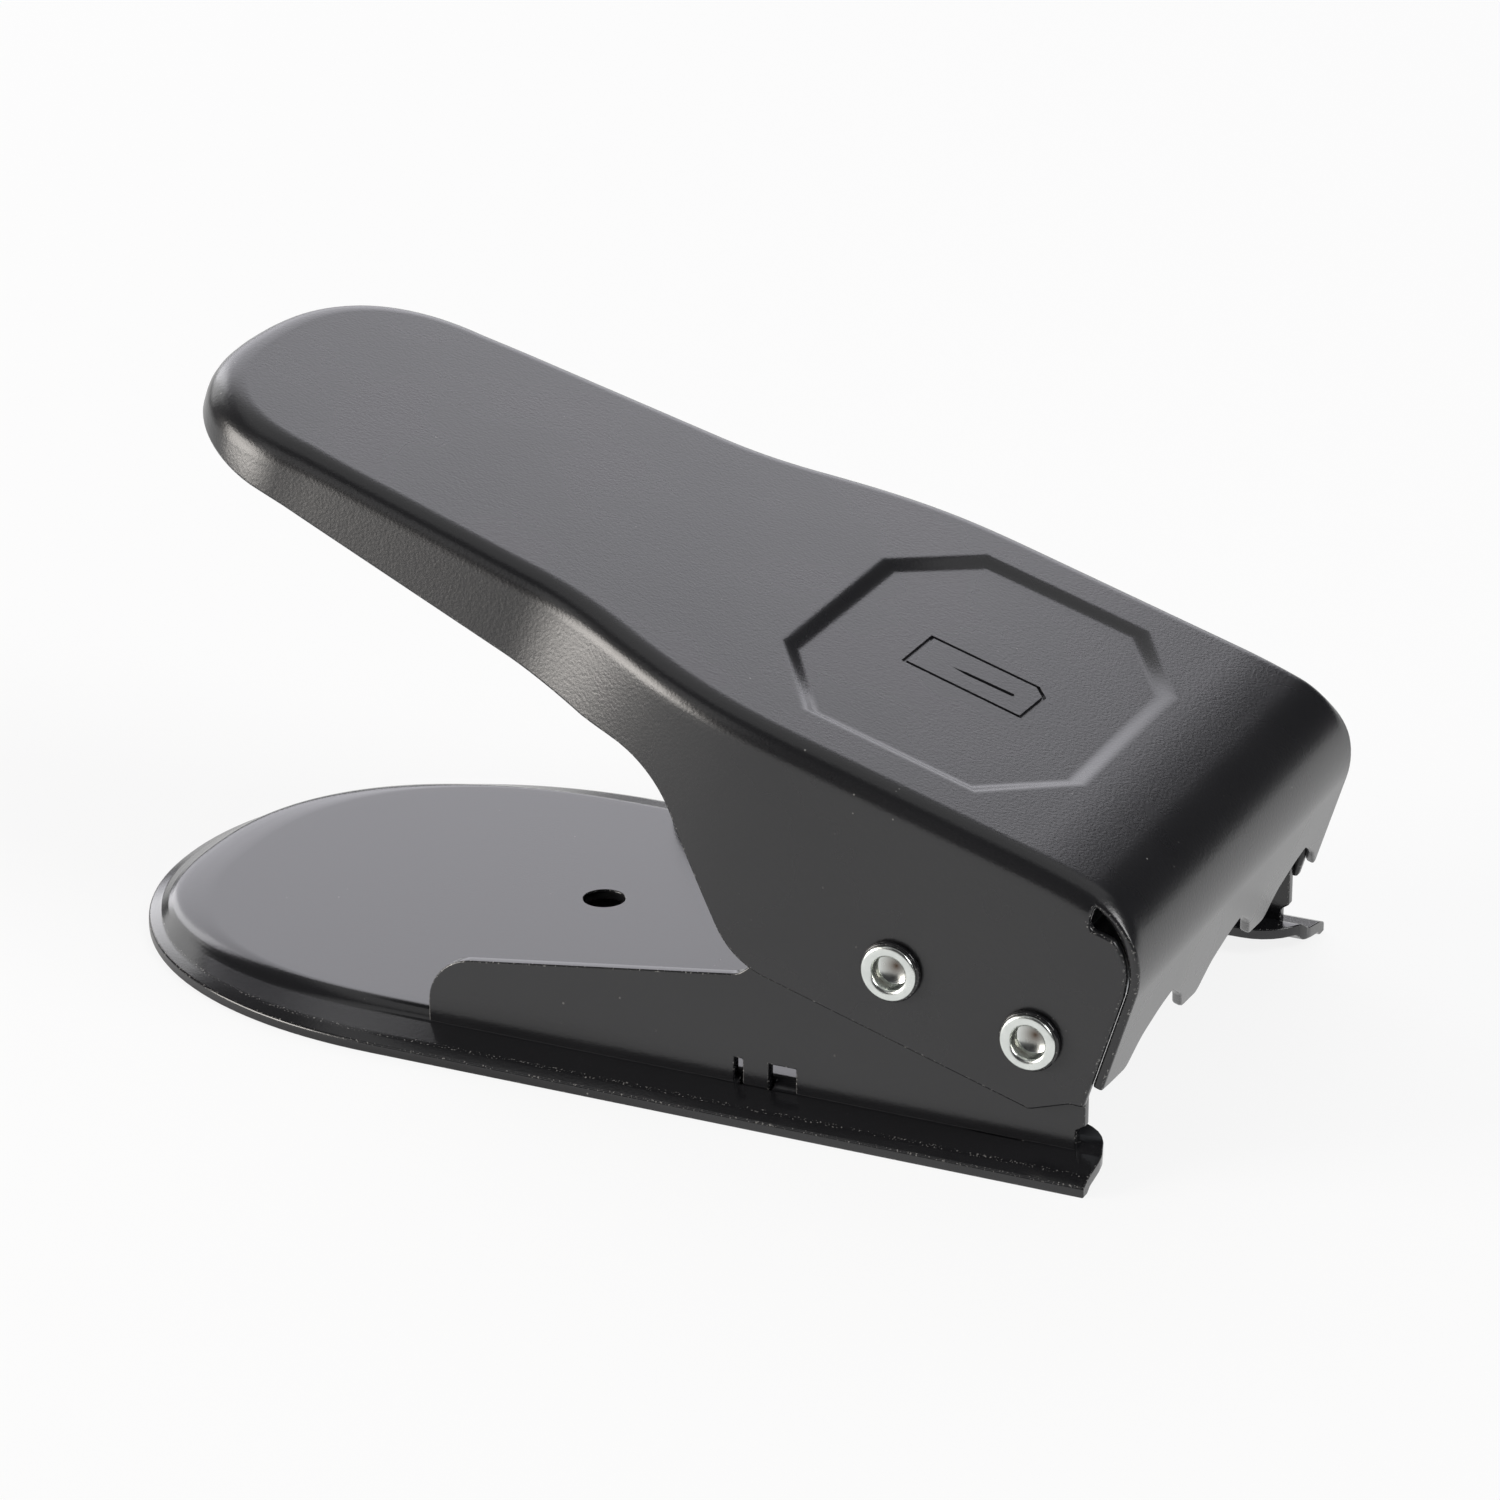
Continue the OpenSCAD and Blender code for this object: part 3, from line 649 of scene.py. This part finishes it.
def engrave_card_sign(piece):
    """Engraves the outline of a card and a bar in the octagon's floor."""
    bm = bmesh.new()
    bm.from_mesh(piece.data)
    bmesh.ops.transform(bm, matrix=LEVER_PLACE.inverted(), verts=bm.verts)
    bm.normal_update()
    floor = TOP - OCTAGON_DEPTH
    level = [f for f in bm.faces if f.normal.z > 0.9 and abs(f.calc_center_median().z - floor) < 0.05]
    around = max(level, key=lambda f: f.calc_area())
    card = [(-32.7, -4.7), (-18.4, -4.9), (-18.2, 1.5), (-19.7, 3.2), (-32.6, 3.2)]
    bar = [(-28.5, -1.15), (-26.6, -1.5), (-21.1, -1.4), (-20.8, -1.05), (-21.1, -0.7), (-26.6, -0.85)]
    groove = ((0.05, 0), (0.08, -0.3), (0.3, 0), (0.08, 0.3), (0.05, 0))
    inside = engrave(bm, around, closed_loop(bm, [(u, y, floor) for u, y in card]), groove)
    engrave(bm, inside, closed_loop(bm, [(u, y, floor) for u, y in bar]), groove[:2])
    bmesh.ops.transform(bm, matrix=LEVER_PLACE, verts=bm.verts)
    bm.to_mesh(piece.data)
    bm.free()


def engrave(bm, around, loop, insets):
    """Engraves a face along a closed loop that lies in it, by insets of (width, rise).

    Returns the innermost face."""
    edges = list(around.edges)
    bmesh.ops.delete(bm, geom=[around], context="FACES_ONLY")
    fill_between(bm, edges, loop)
    face = face_up(bm, loop)
    for width, rise in insets:
        bmesh.ops.inset_individual(bm, faces=[face], thickness=width, depth=rise, use_even_offset=True)
    return face


def tooth_edge():
    """Lower edge of the front plate from one side to the other, as (y, height above the tooth tips)."""
    tooth = ((0, 5.7), (4.4, 3.2), (6.8, 0.3), (11.4, 0), (13.4, 3), (17, 4.9))
    points = [(TOOTH_START + i * TOOTH_PITCH + along, h) for i in (-2, -1, 0, 1) for along, h in tooth]
    inside = [p for p in points if abs(p[0]) < PLATE_HALF - 1.5]
    return [(-PLATE_HALF, 0.6)] + inside + [(PLATE_HALF, 0.1)]


def lever_front(bm, rim):
    """Front bend and saw-tooth front plate. The rolled edges run out over the first half of the bend."""
    for k in range(EASED):
        bm.faces.new((rim[k], rim[k + 1], rim[-k - 2], rim[-k - 1]))
    first = 3
    side = ARC_ROWS + 2 - first
    steps = 18
    roll_out = math.radians(50)
    start = math.asin(1 - (FRONT_U - NOTCH_U) / BEND_R)
    bend, table = grid_sheet(2 * side, steps + 1)
    for k, row in enumerate(table):
        a = lerp(start, math.pi / 2, k / steps)
        roll = 1 - smooth_step((a - start) / roll_out)
        down = (a - start) / (math.pi / 2 - start) * math.pi / 2
        for c in range(side):
            inset, drop = rolled_section(first + c, EDGE_R)
            flat_y = lerp(PLATE_HALF, LEVER_HALF - EDGE_R - FLAT_BAND, c / (side - 1))
            y = lerp(flat_y, LEVER_HALF - inset, roll)
            u, v = bend_point(a)
            u -= drop * roll * math.sin(down)
            v -= drop * roll * math.cos(down)
            row[c].co = (u, -y, v)
            row[-1 - c].co = (u, y, v)
    lower = [bend.verts.new((FRONT_U, y, TOOTH_TIP + h)) for y, h in tooth_edge()]
    bend.faces.new(lower + list(reversed(table[-1])))
    bmesh.ops.bevel(bend, geom=lower[1:-1], offset=TOOTH_ROUND, offset_type="OFFSET", affect="VERTICES",
                    segments=3, profile=0.5, material=-1)
    scratch = bpy.data.meshes.new("bend")
    bend.to_mesh(scratch)
    bend.free()
    bm.from_mesh(scratch)
    bpy.data.meshes.remove(scratch)


def lever_piece():
    bm, rim = lever_skirt()
    flat = rim[EASED:-EASED]
    flat_edges = [bm.edges.get(pair) for pair in zip(flat, flat[1:])] + [bm.edges.new((flat[0], flat[-1]))]
    octagon = octagon_outline(bm)
    fill_between(bm, flat_edges, octagon)
    press_octagon(bm, octagon)
    lever_front(bm, rim)
    bmesh.ops.remove_doubles(bm, verts=bm.verts, dist=0.001)
    bmesh.ops.recalc_face_normals(bm, faces=bm.faces)
    top = max(bm.faces, key=lambda f: f.calc_center_median().z)
    if top.normal.z < 0:
        bmesh.ops.reverse_faces(bm, faces=bm.faces)
    bmesh.ops.transform(bm, matrix=LEVER_PLACE, verts=bm.verts)
    piece = mesh_object(bm, "pressed_lever")
    thick = piece.modifiers.new("sheet", "SOLIDIFY")
    thick.thickness = LEVER_SHEET * MM
    thick.offset = -1
    thick.use_even_offset = True
    settle(piece)
    holes = bmesh.new()
    beyond = Vector((0, 50, 0))
    for u in (0, -PIN_ARM):
        pin = Vector((u, 0, 0))
        add_rod(holes, LEVER_PLACE @ (pin - beyond), LEVER_PLACE @ (pin + beyond), (PIN_R + PIN_PLAY) * MM)
    soften(piece, LEVER_BREAK)
    cut(piece, holes)
    engrave_card_sign(piece)
    shade(dress(piece, "lever_shell", LEVER_ENAMEL))


# Base plate: one formed sheet

def base_section():
    """Section of the formed sheet, from the top of the raised middle round the rim to its underside.

    Each corner is (rear inset, side inset, fullness, height, easing, rub). The rows that come back have every
    corner eased and leave out the easing."""
    step = BASE_HALF - FRAME_HALF
    under = BASE_SHEET
    corners = [(11, step + 3, PLATEAU_FULLNESS, PLATEAU_TOP, 0, 0),
               (7.4, step + 1.5, PLATEAU_FULLNESS, PLATEAU_TOP, 0.42, 0),
               (3.8, step + 0.7, PLATEAU_FULLNESS, PLATEAU_EDGE, 0.4, 0),
               (2.8, step, PLATEAU_FULLNESS, FLANGE_INNER, 0.4, 0),
               (1.4, 1.4, RIM_FULLNESS, FLANGE_OUTER, 0.35, 1),
               (0, 0, RIM_FULLNESS, RIM_FACE, 0.25, 1),
               (0, 0, RIM_FULLNESS, 0, 0.15, 1),
               (under, under, RIM_FULLNESS, 0, 0.15, 1),
               (1.9, 1.9, RIM_FULLNESS, FLANGE_OUTER - under, 0.3, 0),
               (3.6, step + 0.8, PLATEAU_FULLNESS, FLANGE_INNER - under, 0.3, 0),
               (4.7, step + 1.9, PLATEAU_FULLNESS, PLATEAU_TOP - under, 0.4, 0),
               (7, step + 4, PLATEAU_FULLNESS, PLATEAU_TOP - under, 0, 0)]
    rows = [corners[0][:4] + (0,)]
    for before, here, after in zip(corners, corners[1:], corners[2:]):
        a = step_towards(here, before)
        b = step_towards(here, after)
        for t in (0, 0.25, 0.5, 0.75, 1):
            eased = [lerp(lerp(p, q, t), lerp(q, r, t), t) for p, q, r in zip(a, here[:4], b)]
            rows.append((*eased, here[5] if t < 1 else 0))
    return rows + [corners[-1][:4] + (0,)]


def step_towards(here, other):
    """The point of a section that lies the corner's easing length from one corner towards another."""
    length = math.hypot(other[1] - here[1], other[3] - here[3])
    return [lerp(p, q, here[4] / length) for p, q in zip(here[:4], other[:4])]


def base_outline(row):
    """Closed outline of the base at one row of its section. The front is cut to length afterwards."""
    rear_inset, side_inset, fullness, z, _ = row
    half = BASE_HALF - side_inset
    front = BASE_FRONT + FRONT_SPARE - side_inset * 0.3
    points = round_end(BASE_REAR + rear_inset, BASE_ROUND - rear_inset, half, fullness, 36)
    points += [(x, half) for x in spaced(BASE_REAR + BASE_ROUND + 4, BASE_FRONT, 8)] + [(front, half)]
    return [(x, -y, z) for x, y in reversed(points)] + [(x, y, z) for x, y in points[1:]]


def arc(x, y, r, start, end, steps=8):
    """Points of an arc about a centre, between two angles in degrees."""
    turns = [math.radians(lerp(start, end, k / steps)) for k in range(steps + 1)]
    return [(x + r * math.cos(a), y + r * math.sin(a)) for a in turns]


def mouth_outline():
    """Cut-out between the two fingers at the front."""
    back = BASE_FRONT - MOUTH_DEPTH
    wide = MOUTH_HALF + MOUTH_R
    left = (arc(back + MOUTH_R, MOUTH_HALF - MOUTH_R, MOUTH_R, 180, 90)
            + arc(BASE_FRONT - MOUTH_R, wide, MOUTH_R, -90, 0) + [(BASE_FRONT + 10, wide)])
    return left + [(x, -y) for x, y in reversed(left)]


def card_outline(margin):
    """Outline of the cut card with its cut corner, grown by a margin."""
    l, w, c = CARD_L / 2 + margin, CARD_W / 2 + margin, CARD_CORNER
    return [(DIE_X + x, y) for x, y in ((-l, -w), (l, -w), (l, w - c), (l - c, w), (-l, w))]


def base_openings():
    """The shapes that are cut out of the base, and the block that cuts its front to length."""
    openings = bmesh.new()
    ahead = Matrix.Translation((BASE_FRONT + 20, 0, 0)) @ Matrix.Diagonal((40, 100, 40, 1))
    bmesh.ops.create_cube(openings, size=1, matrix=TO_METRES @ ahead)
    add_opening(openings, mouth_outline())
    add_hole(openings, *FIXING_HOLE, FIXING_HOLE_R)
    for sx in (-1, 1):
        for sy in (-1, 1):
            add_hole(openings, DIE_X + sx * DIE_SCREW_X, sy * DIE_SCREW_Y, SCREW_HOLE_R, sides=32)
    add_opening(openings, card_outline(CARD_DROP_MARGIN))
    for x in TAB_PLACES:
        rear, front = x - TAB_PLAY, x + TAB_L + TAB_PLAY
        for side in (-1, 1):
            inner, outer = side * (FRAME_HALF - SIDE_SHEET), side * (FRAME_HALF + TAB_SIDE_PLAY)
            add_opening(openings, [(rear, inner), (front, inner), (front, outer), (rear, outer)])
    return openings


def base_piece():
    rows = base_section()
    outlines = [base_outline(row) for row in rows]
    columns = len(outlines[0])
    bm, table = grid_sheet(columns + 1, len(rows))
    wear = bm.faces.layers.float.new("edge_wear")
    rub = {}
    for line, outline, row in zip(table, outlines, rows):
        for v, p in zip(line, outline + outline[:1]):
            v.co = p
            rub[v] = row[4]
    for face in bm.faces:
        face[wear] = min(rub[v] for v in face.verts)
    bmesh.ops.weld_verts(bm, targetmap={line[columns]: line[0] for line in table})
    for line in (table[0][:columns], table[-1][:columns]):
        ends = [bm.edges.get(pair) for pair in zip(line, line[1:] + line[:1])]
        bmesh.ops.contextual_create(bm, geom=ends)
    bmesh.ops.recalc_face_normals(bm, faces=bm.faces)
    bmesh.ops.transform(bm, matrix=TO_METRES, verts=bm.verts)
    piece = mesh_object(bm, "formed_base")
    cut(piece, base_openings(), overlap=True)
    shade(soften(dress(piece, "base_plate", BASE_ENAMEL), BASE_BREAK))


# Pieces that follow their CAD solid, with broken edges

def open_notches(bm):
    """Raises the notches beside a side plate's rear foot tab, so that the lit base shows through them."""
    for v in bm.verts:
        x, z = v.co.x / MM, v.co.z / MM
        if abs(z - FOOT_NOTCH_TOP) < 0.05 and abs(x - TAB_PLACES[0]) < FOOT_NOTCH_REACH:
            v.co.z += FOOT_NOTCH_LIFT * MM


def refined(node, width_mm, reshape=None):
    """A copy of a node's solid with broken edges, after a change of shape where one is given."""
    bm = bmesh.new()
    bm.from_mesh(frame["nodes"][node].data)
    bmesh.ops.remove_doubles(bm, verts=bm.verts, dist=0.002 * MM)
    bmesh.ops.dissolve_limit(bm, angle_limit=math.radians(1), verts=bm.verts, edges=bm.edges)
    if reshape:
        reshape(bm)
    piece = mesh_object(bm, node + "_finished")
    shade(soften(dress(piece, node, MATERIAL_OF_SLOT[SLOT_OF_NODE[node]]), width_mm))


# Turned and wound pieces

def add_turned(bm, profile, place, closed=False, steps=64):
    """Turns a profile of (radius, height) points about the height axis of a place."""
    verts = [bm.verts.new(place @ Vector((r, 0, h))) for r, h in profile]
    pairs = list(zip(verts, verts[1:])) + ([(verts[-1], verts[0])] if closed else [])
    edges = [bm.edges.new(pair) for pair in pairs]
    bmesh.ops.spin(bm, geom=verts + edges, cent=place.translation, axis=place.to_3x3() @ Vector((0, 0, 1)),
                   angle=2 * math.pi, steps=steps, use_merge=True)


def turned_mesh(bm, node):
    """Closes the turned shapes of a node."""
    bmesh.ops.remove_doubles(bm, verts=bm.verts, dist=0.001)
    bmesh.ops.recalc_face_normals(bm, faces=bm.faces)
    bmesh.ops.transform(bm, matrix=TO_METRES, verts=bm.verts)
    return mesh_object(bm, node + "_turned")


def across(x, z):
    """Place of a pin: its axis runs across the tool."""
    return Matrix.Translation((x, 0, z)) @ Matrix.Rotation(-math.pi / 2, 4, "X")


def pin_piece(node, x, z, end):
    """Pin with flared heads and a drilled bore in each end. The drill point is tinted brown, darkest at its
    tip: unplated steel, with painted shade of the hollow.
    """
    half = [(0, end - BORE_DEPTH - DRILL_POINT), (PIN_BORE_R, end - BORE_DEPTH), (PIN_BORE_R, end - 0.36),
            (PIN_BORE_R + 0.15, end - 0.12), (2.2, end), (2.72, end), (2.92, end - 0.08), (HEAD_R, end - 0.2),
            (HEAD_R, end - HEAD_T), (PIN_R, end - HEAD_T)]
    bm = bmesh.new()
    add_turned(bm, half + [(r, -h) for r, h in reversed(half)], across(x, z))
    # Brown tint over the drill point, strongest at its tip: unplated steel with painted shade of the hollow
    tip_tint_and_shade = bm.verts.layers.float.new("unplated_tip_and_shade")
    for v in bm.verts:
        v[tip_tint_and_shade] = max(0, 1 - math.hypot(v.co.x - x, v.co.z - z) / PIN_BORE_R)
    shade(soften(dress(turned_mesh(bm, node), node, ZINC), TURNED_BREAK))


def washer_pieces(node, x, z, gap):
    """The two washers of a pin, outside the lever's walls."""
    inner, outer, ease = PIN_R + PIN_PLAY, HEAD_R + 0.25, 0.15
    low = LEVER_HALF + gap
    high = low + WASHER_T
    section = [(inner, low), (outer - ease, low), (outer, low + ease),
               (outer, high - ease), (outer - ease, high), (inner, high)]
    bm = bmesh.new()
    for side in (-1, 1):
        add_turned(bm, [(r, side * h) for r, h in section], across(x, z), closed=True)
    shade(soften(dress(turned_mesh(bm, node), node, BASE_ENAMEL), TURNED_BREAK))


def screw_pieces(node, facing):
    """Cap screws with hexagon sockets, at the corners of their node's box.

    Facing is the way that the sockets look: 1 up, -1 down."""
    low, high = [[c / MM for c in corner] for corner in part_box(node)]
    length = high[2] - low[2] - SCREW_HEAD_H
    seat = high[2] - SCREW_HEAD_H if facing > 0 else low[2] + SCREW_HEAD_H
    profile = [(0, SCREW_HEAD_H), (SCREW_HEAD_R - 0.28, SCREW_HEAD_H), (SCREW_HEAD_R, SCREW_HEAD_H - 0.25),
               (SCREW_HEAD_R, 0), (SCREW_R, 0),
               (SCREW_R, 0.2 - length), (SCREW_R - 0.2, -length), (0, -length)]
    bm = bmesh.new()
    sockets = bmesh.new()
    for x in (low[0] + SCREW_HEAD_R, high[0] - SCREW_HEAD_R):
        for y in sorted({round(low[1] + SCREW_HEAD_R, 2), round(high[1] - SCREW_HEAD_R, 2)}):
            place = Matrix.Translation((x, y, seat)) @ Matrix.Rotation(0 if facing > 0 else math.pi, 4, "X")
            add_turned(bm, profile, place, steps=40)
            above = TO_METRES @ place @ Vector((0, 0, SCREW_HEAD_H + 1.8))
            add_rod(sockets, TO_METRES @ place @ Vector((0, 0, SOCKET_FLOOR)), above, SOCKET_R * MM, sides=6)
    piece = turned_mesh(bm, node)
    cut(piece, sockets)
    shade(soften(dress(piece, node, ZINC), SCREW_BREAK))


def spring_piece(node, y):
    """Return spring: round wire wound round its guide post, at one length. On the real tool it shortens as
    the punch goes down.
    """
    low, high = SPRING_FOOT + WIRE_R + 0.02, SPRING_HEAD - WIRE_R - 0.02
    bm = bmesh.new()
    ring = []
    for k in range(12):
        a = 2 * math.pi * k / 12
        ring.append((POST_X + SPRING_R + WIRE_R * math.cos(a), y, low + WIRE_R * math.sin(a)))
    first = closed_loop(bm, ring)
    steps = round(SPRING_TURNS * 32)
    wound = bmesh.ops.spin(bm, geom=list(bm.verts) + first, cent=(POST_X, y, 0), axis=(0, 0, 1),
                           angle=2 * math.pi * SPRING_TURNS, steps=steps, dvec=(0, 0, (high - low) / steps))
    last = [g for g in wound["geom_last"] if isinstance(g, bmesh.types.BMEdge)]
    for loop in (first, last):
        bmesh.ops.contextual_create(bm, geom=loop)
    piece = shade(soften(dress(turned_mesh(bm, node), node, SPRING_WIRE), TURNED_BREAK))
    settle(piece)
    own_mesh(piece)


# Camera, floor and light. Places of the camera and the lamps are in metres

OVAL_X = -12
OVAL_HALF_L = 52
OVAL_HALF_W = 34.5
CAMERA_WHITE = 0.85
MIDDLE = (0, 0, 0.03)


def camera():
    data = bpy.data.cameras.new("camera")
    data.sensor_width = 36
    data.lens = 144.25
    made = bpy.data.objects.new("camera", data)
    made.location = (0.25211, -0.53490, 0.27232)
    made.rotation_euler = (math.radians(67.27), 0, math.radians(24.69))
    bpy.context.scene.collection.objects.link(made)
    bpy.context.scene.camera = made


def floor():
    """White card. The camera sees it mostly as plain white, with a part of the card's own shading as a faint
    shadow, and mirrored rays see it white. Both stop at an oval under the tool, where the card stays dark."""
    bm = bmesh.new()
    bmesh.ops.create_grid(bm, x_segments=1, y_segments=1, size=3)
    made = mesh_object(bm, "floor")
    finish = bpy.data.materials.new("white_card_floor")
    finish.use_nodes = True
    tree = finish.node_tree
    tree.nodes.clear()
    card = add_node(tree, "ShaderNodeBsdfDiffuse", Color=linear("#f4f4f4"))
    glow = add_node(tree, "ShaderNodeEmission", Color=(1, 1, 1, 1), Strength=1.0)
    ray = add_node(tree, "ShaderNodeLightPath")
    place = add_node(tree, "ShaderNodeTexCoord").outputs["Object"]
    shifted = add_node(tree, "ShaderNodeVectorMath", [(0, place)], operation="ADD")
    shifted.inputs[1].default_value = (-OVAL_X * MM, 0, 0)
    shrunk = add_node(tree, "ShaderNodeVectorMath", [(0, shifted.outputs[0])], operation="MULTIPLY")
    shrunk.inputs[1].default_value = (1 / (OVAL_HALF_L * MM), 1 / (OVAL_HALF_W * MM), 0)
    length = add_node(tree, "ShaderNodeVectorMath", [(0, shrunk.outputs[0])], operation="LENGTH")
    away = length.outputs["Value"]
    open_floor = add_node(tree, "ShaderNodeMapRange", [("Value", away)], From_Min=0.85, From_Max=0.95)
    clear_floor = add_node(tree, "ShaderNodeMapRange", [("Value", away)], From_Min=1.0, From_Max=1.2)
    seen = add_node(tree, "ShaderNodeMath", [(0, ray.outputs["Is Camera Ray"]), (1, open_floor.outputs[0])],
                    operation="MULTIPLY")
    bounced = add_node(tree, "ShaderNodeMath", [(0, ray.outputs["Is Glossy Ray"]),
                                                (1, ray.outputs["Is Transmission Ray"])], operation="MAXIMUM")
    dimmed = add_node(tree, "ShaderNodeMath", [(0, bounced.outputs[0]), (1, clear_floor.outputs[0])],
                      operation="MULTIPLY")
    faint = add_node(tree, "ShaderNodeMath", [(0, seen.outputs[0])], operation="MULTIPLY")
    faint.inputs[1].default_value = CAMERA_WHITE
    share = add_node(tree, "ShaderNodeMath", [(0, faint.outputs[0]), (1, dimmed.outputs[0])],
                     operation="MAXIMUM")
    both = add_node(tree, "ShaderNodeMixShader",
                    [("Fac", share.outputs[0]), (1, card.outputs[0]), (2, glow.outputs[0])])
    add_node(tree, "ShaderNodeOutputMaterial", [("Surface", both.outputs[0])])
    made.data.materials.append(finish)


def softbox(name, place, aim, size, power, tint="#ffffff"):
    data = bpy.data.lights.new(name, "AREA")
    data.shape = "RECTANGLE"
    data.size, data.size_y = size
    data.energy = power
    data.color = linear(tint)[:3]
    made = bpy.data.objects.new(name, data)
    made.location = place
    made.rotation_euler = (Vector(aim) - Vector(place)).to_track_quat("-Z", "Y").to_euler()
    made.visible_camera = False
    bpy.context.scene.collection.objects.link(made)


def world():
    made = bpy.data.worlds.new("studio")
    bpy.context.scene.world = made
    made.use_nodes = True
    tree = made.node_tree
    tree.nodes.clear()
    room = add_node(tree, "ShaderNodeBackground", Color=linear("#8c8c90"), Strength=0.18)
    white = add_node(tree, "ShaderNodeBackground", Color=(1, 1, 1, 1), Strength=1.0)
    ray = add_node(tree, "ShaderNodeLightPath")
    both = add_node(tree, "ShaderNodeMixShader",
                    [("Fac", ray.outputs["Is Camera Ray"]), (1, room.outputs[0]), (2, white.outputs[0])])
    add_node(tree, "ShaderNodeOutputWorld", [("Surface", both.outputs[0])])


camera()
floor()
world()
softbox("window", (-0.569, 1.005, 0.508), MIDDLE, (1.2, 0.85), 6.35, "#f9f8ff")
softbox("left_box", (-0.906, -0.588, 0.24), MIDDLE, (0.67, 0.55), 11.6, "#fffaf4")
softbox("ceiling", (0, 0.35, 1.25), MIDDLE, (1.6, 1.4), 4.0)
softbox("low_card", (-0.339, -0.339, 0.062), (0, 0, 0.05), (0.22, 0.12), 0.3, "#fffaf4")
softbox("front_box", (-0.453, -0.785, 0.758), MIDDLE, (0.5, 0.5), 0.6)
softbox("right_box", (0.96, -0.12, 0.72), MIDDLE, (0.5, 0.5), 7.5)
softbox("rear_strip", (-0.94, 0.543, 0.425), MIDDLE, (0.5, 0.6), 1.8)
bpy.context.scene.view_settings.view_transform = "Standard"

lever_piece()
base_piece()
refined("side_plate_right", SIDE_BREAK, open_notches)
refined("side_plate_left", SIDE_BREAK, open_notches)
for plain in ("die_block", "slot_spacer", "stripper_plate", "punch_holder", "punch", "pivot_spacer",
              "guide_posts", "post_clips", "holder_bushes"):
    refined(plain, GROUND_BREAK)
pin_piece("pivot_pin", PIVOT[0], PIVOT[2], LEVER_HALF + PIN_PLAY + WASHER_T + HEAD_T)
pin_piece("drive_pin", *DRIVE_PIN, LEVER_HALF + WASHER_T + HEAD_T)
washer_pieces("pivot_washers", PIVOT[0], PIVOT[2], PIN_PLAY)
washer_pieces("drive_washers", *DRIVE_PIN, 0)
screw_pieces("die_screws", -1)
screw_pieces("punch_screws", 1)
spring_piece("return_spring_right", -POST_Y)
spring_piece("return_spring_left", POST_Y)
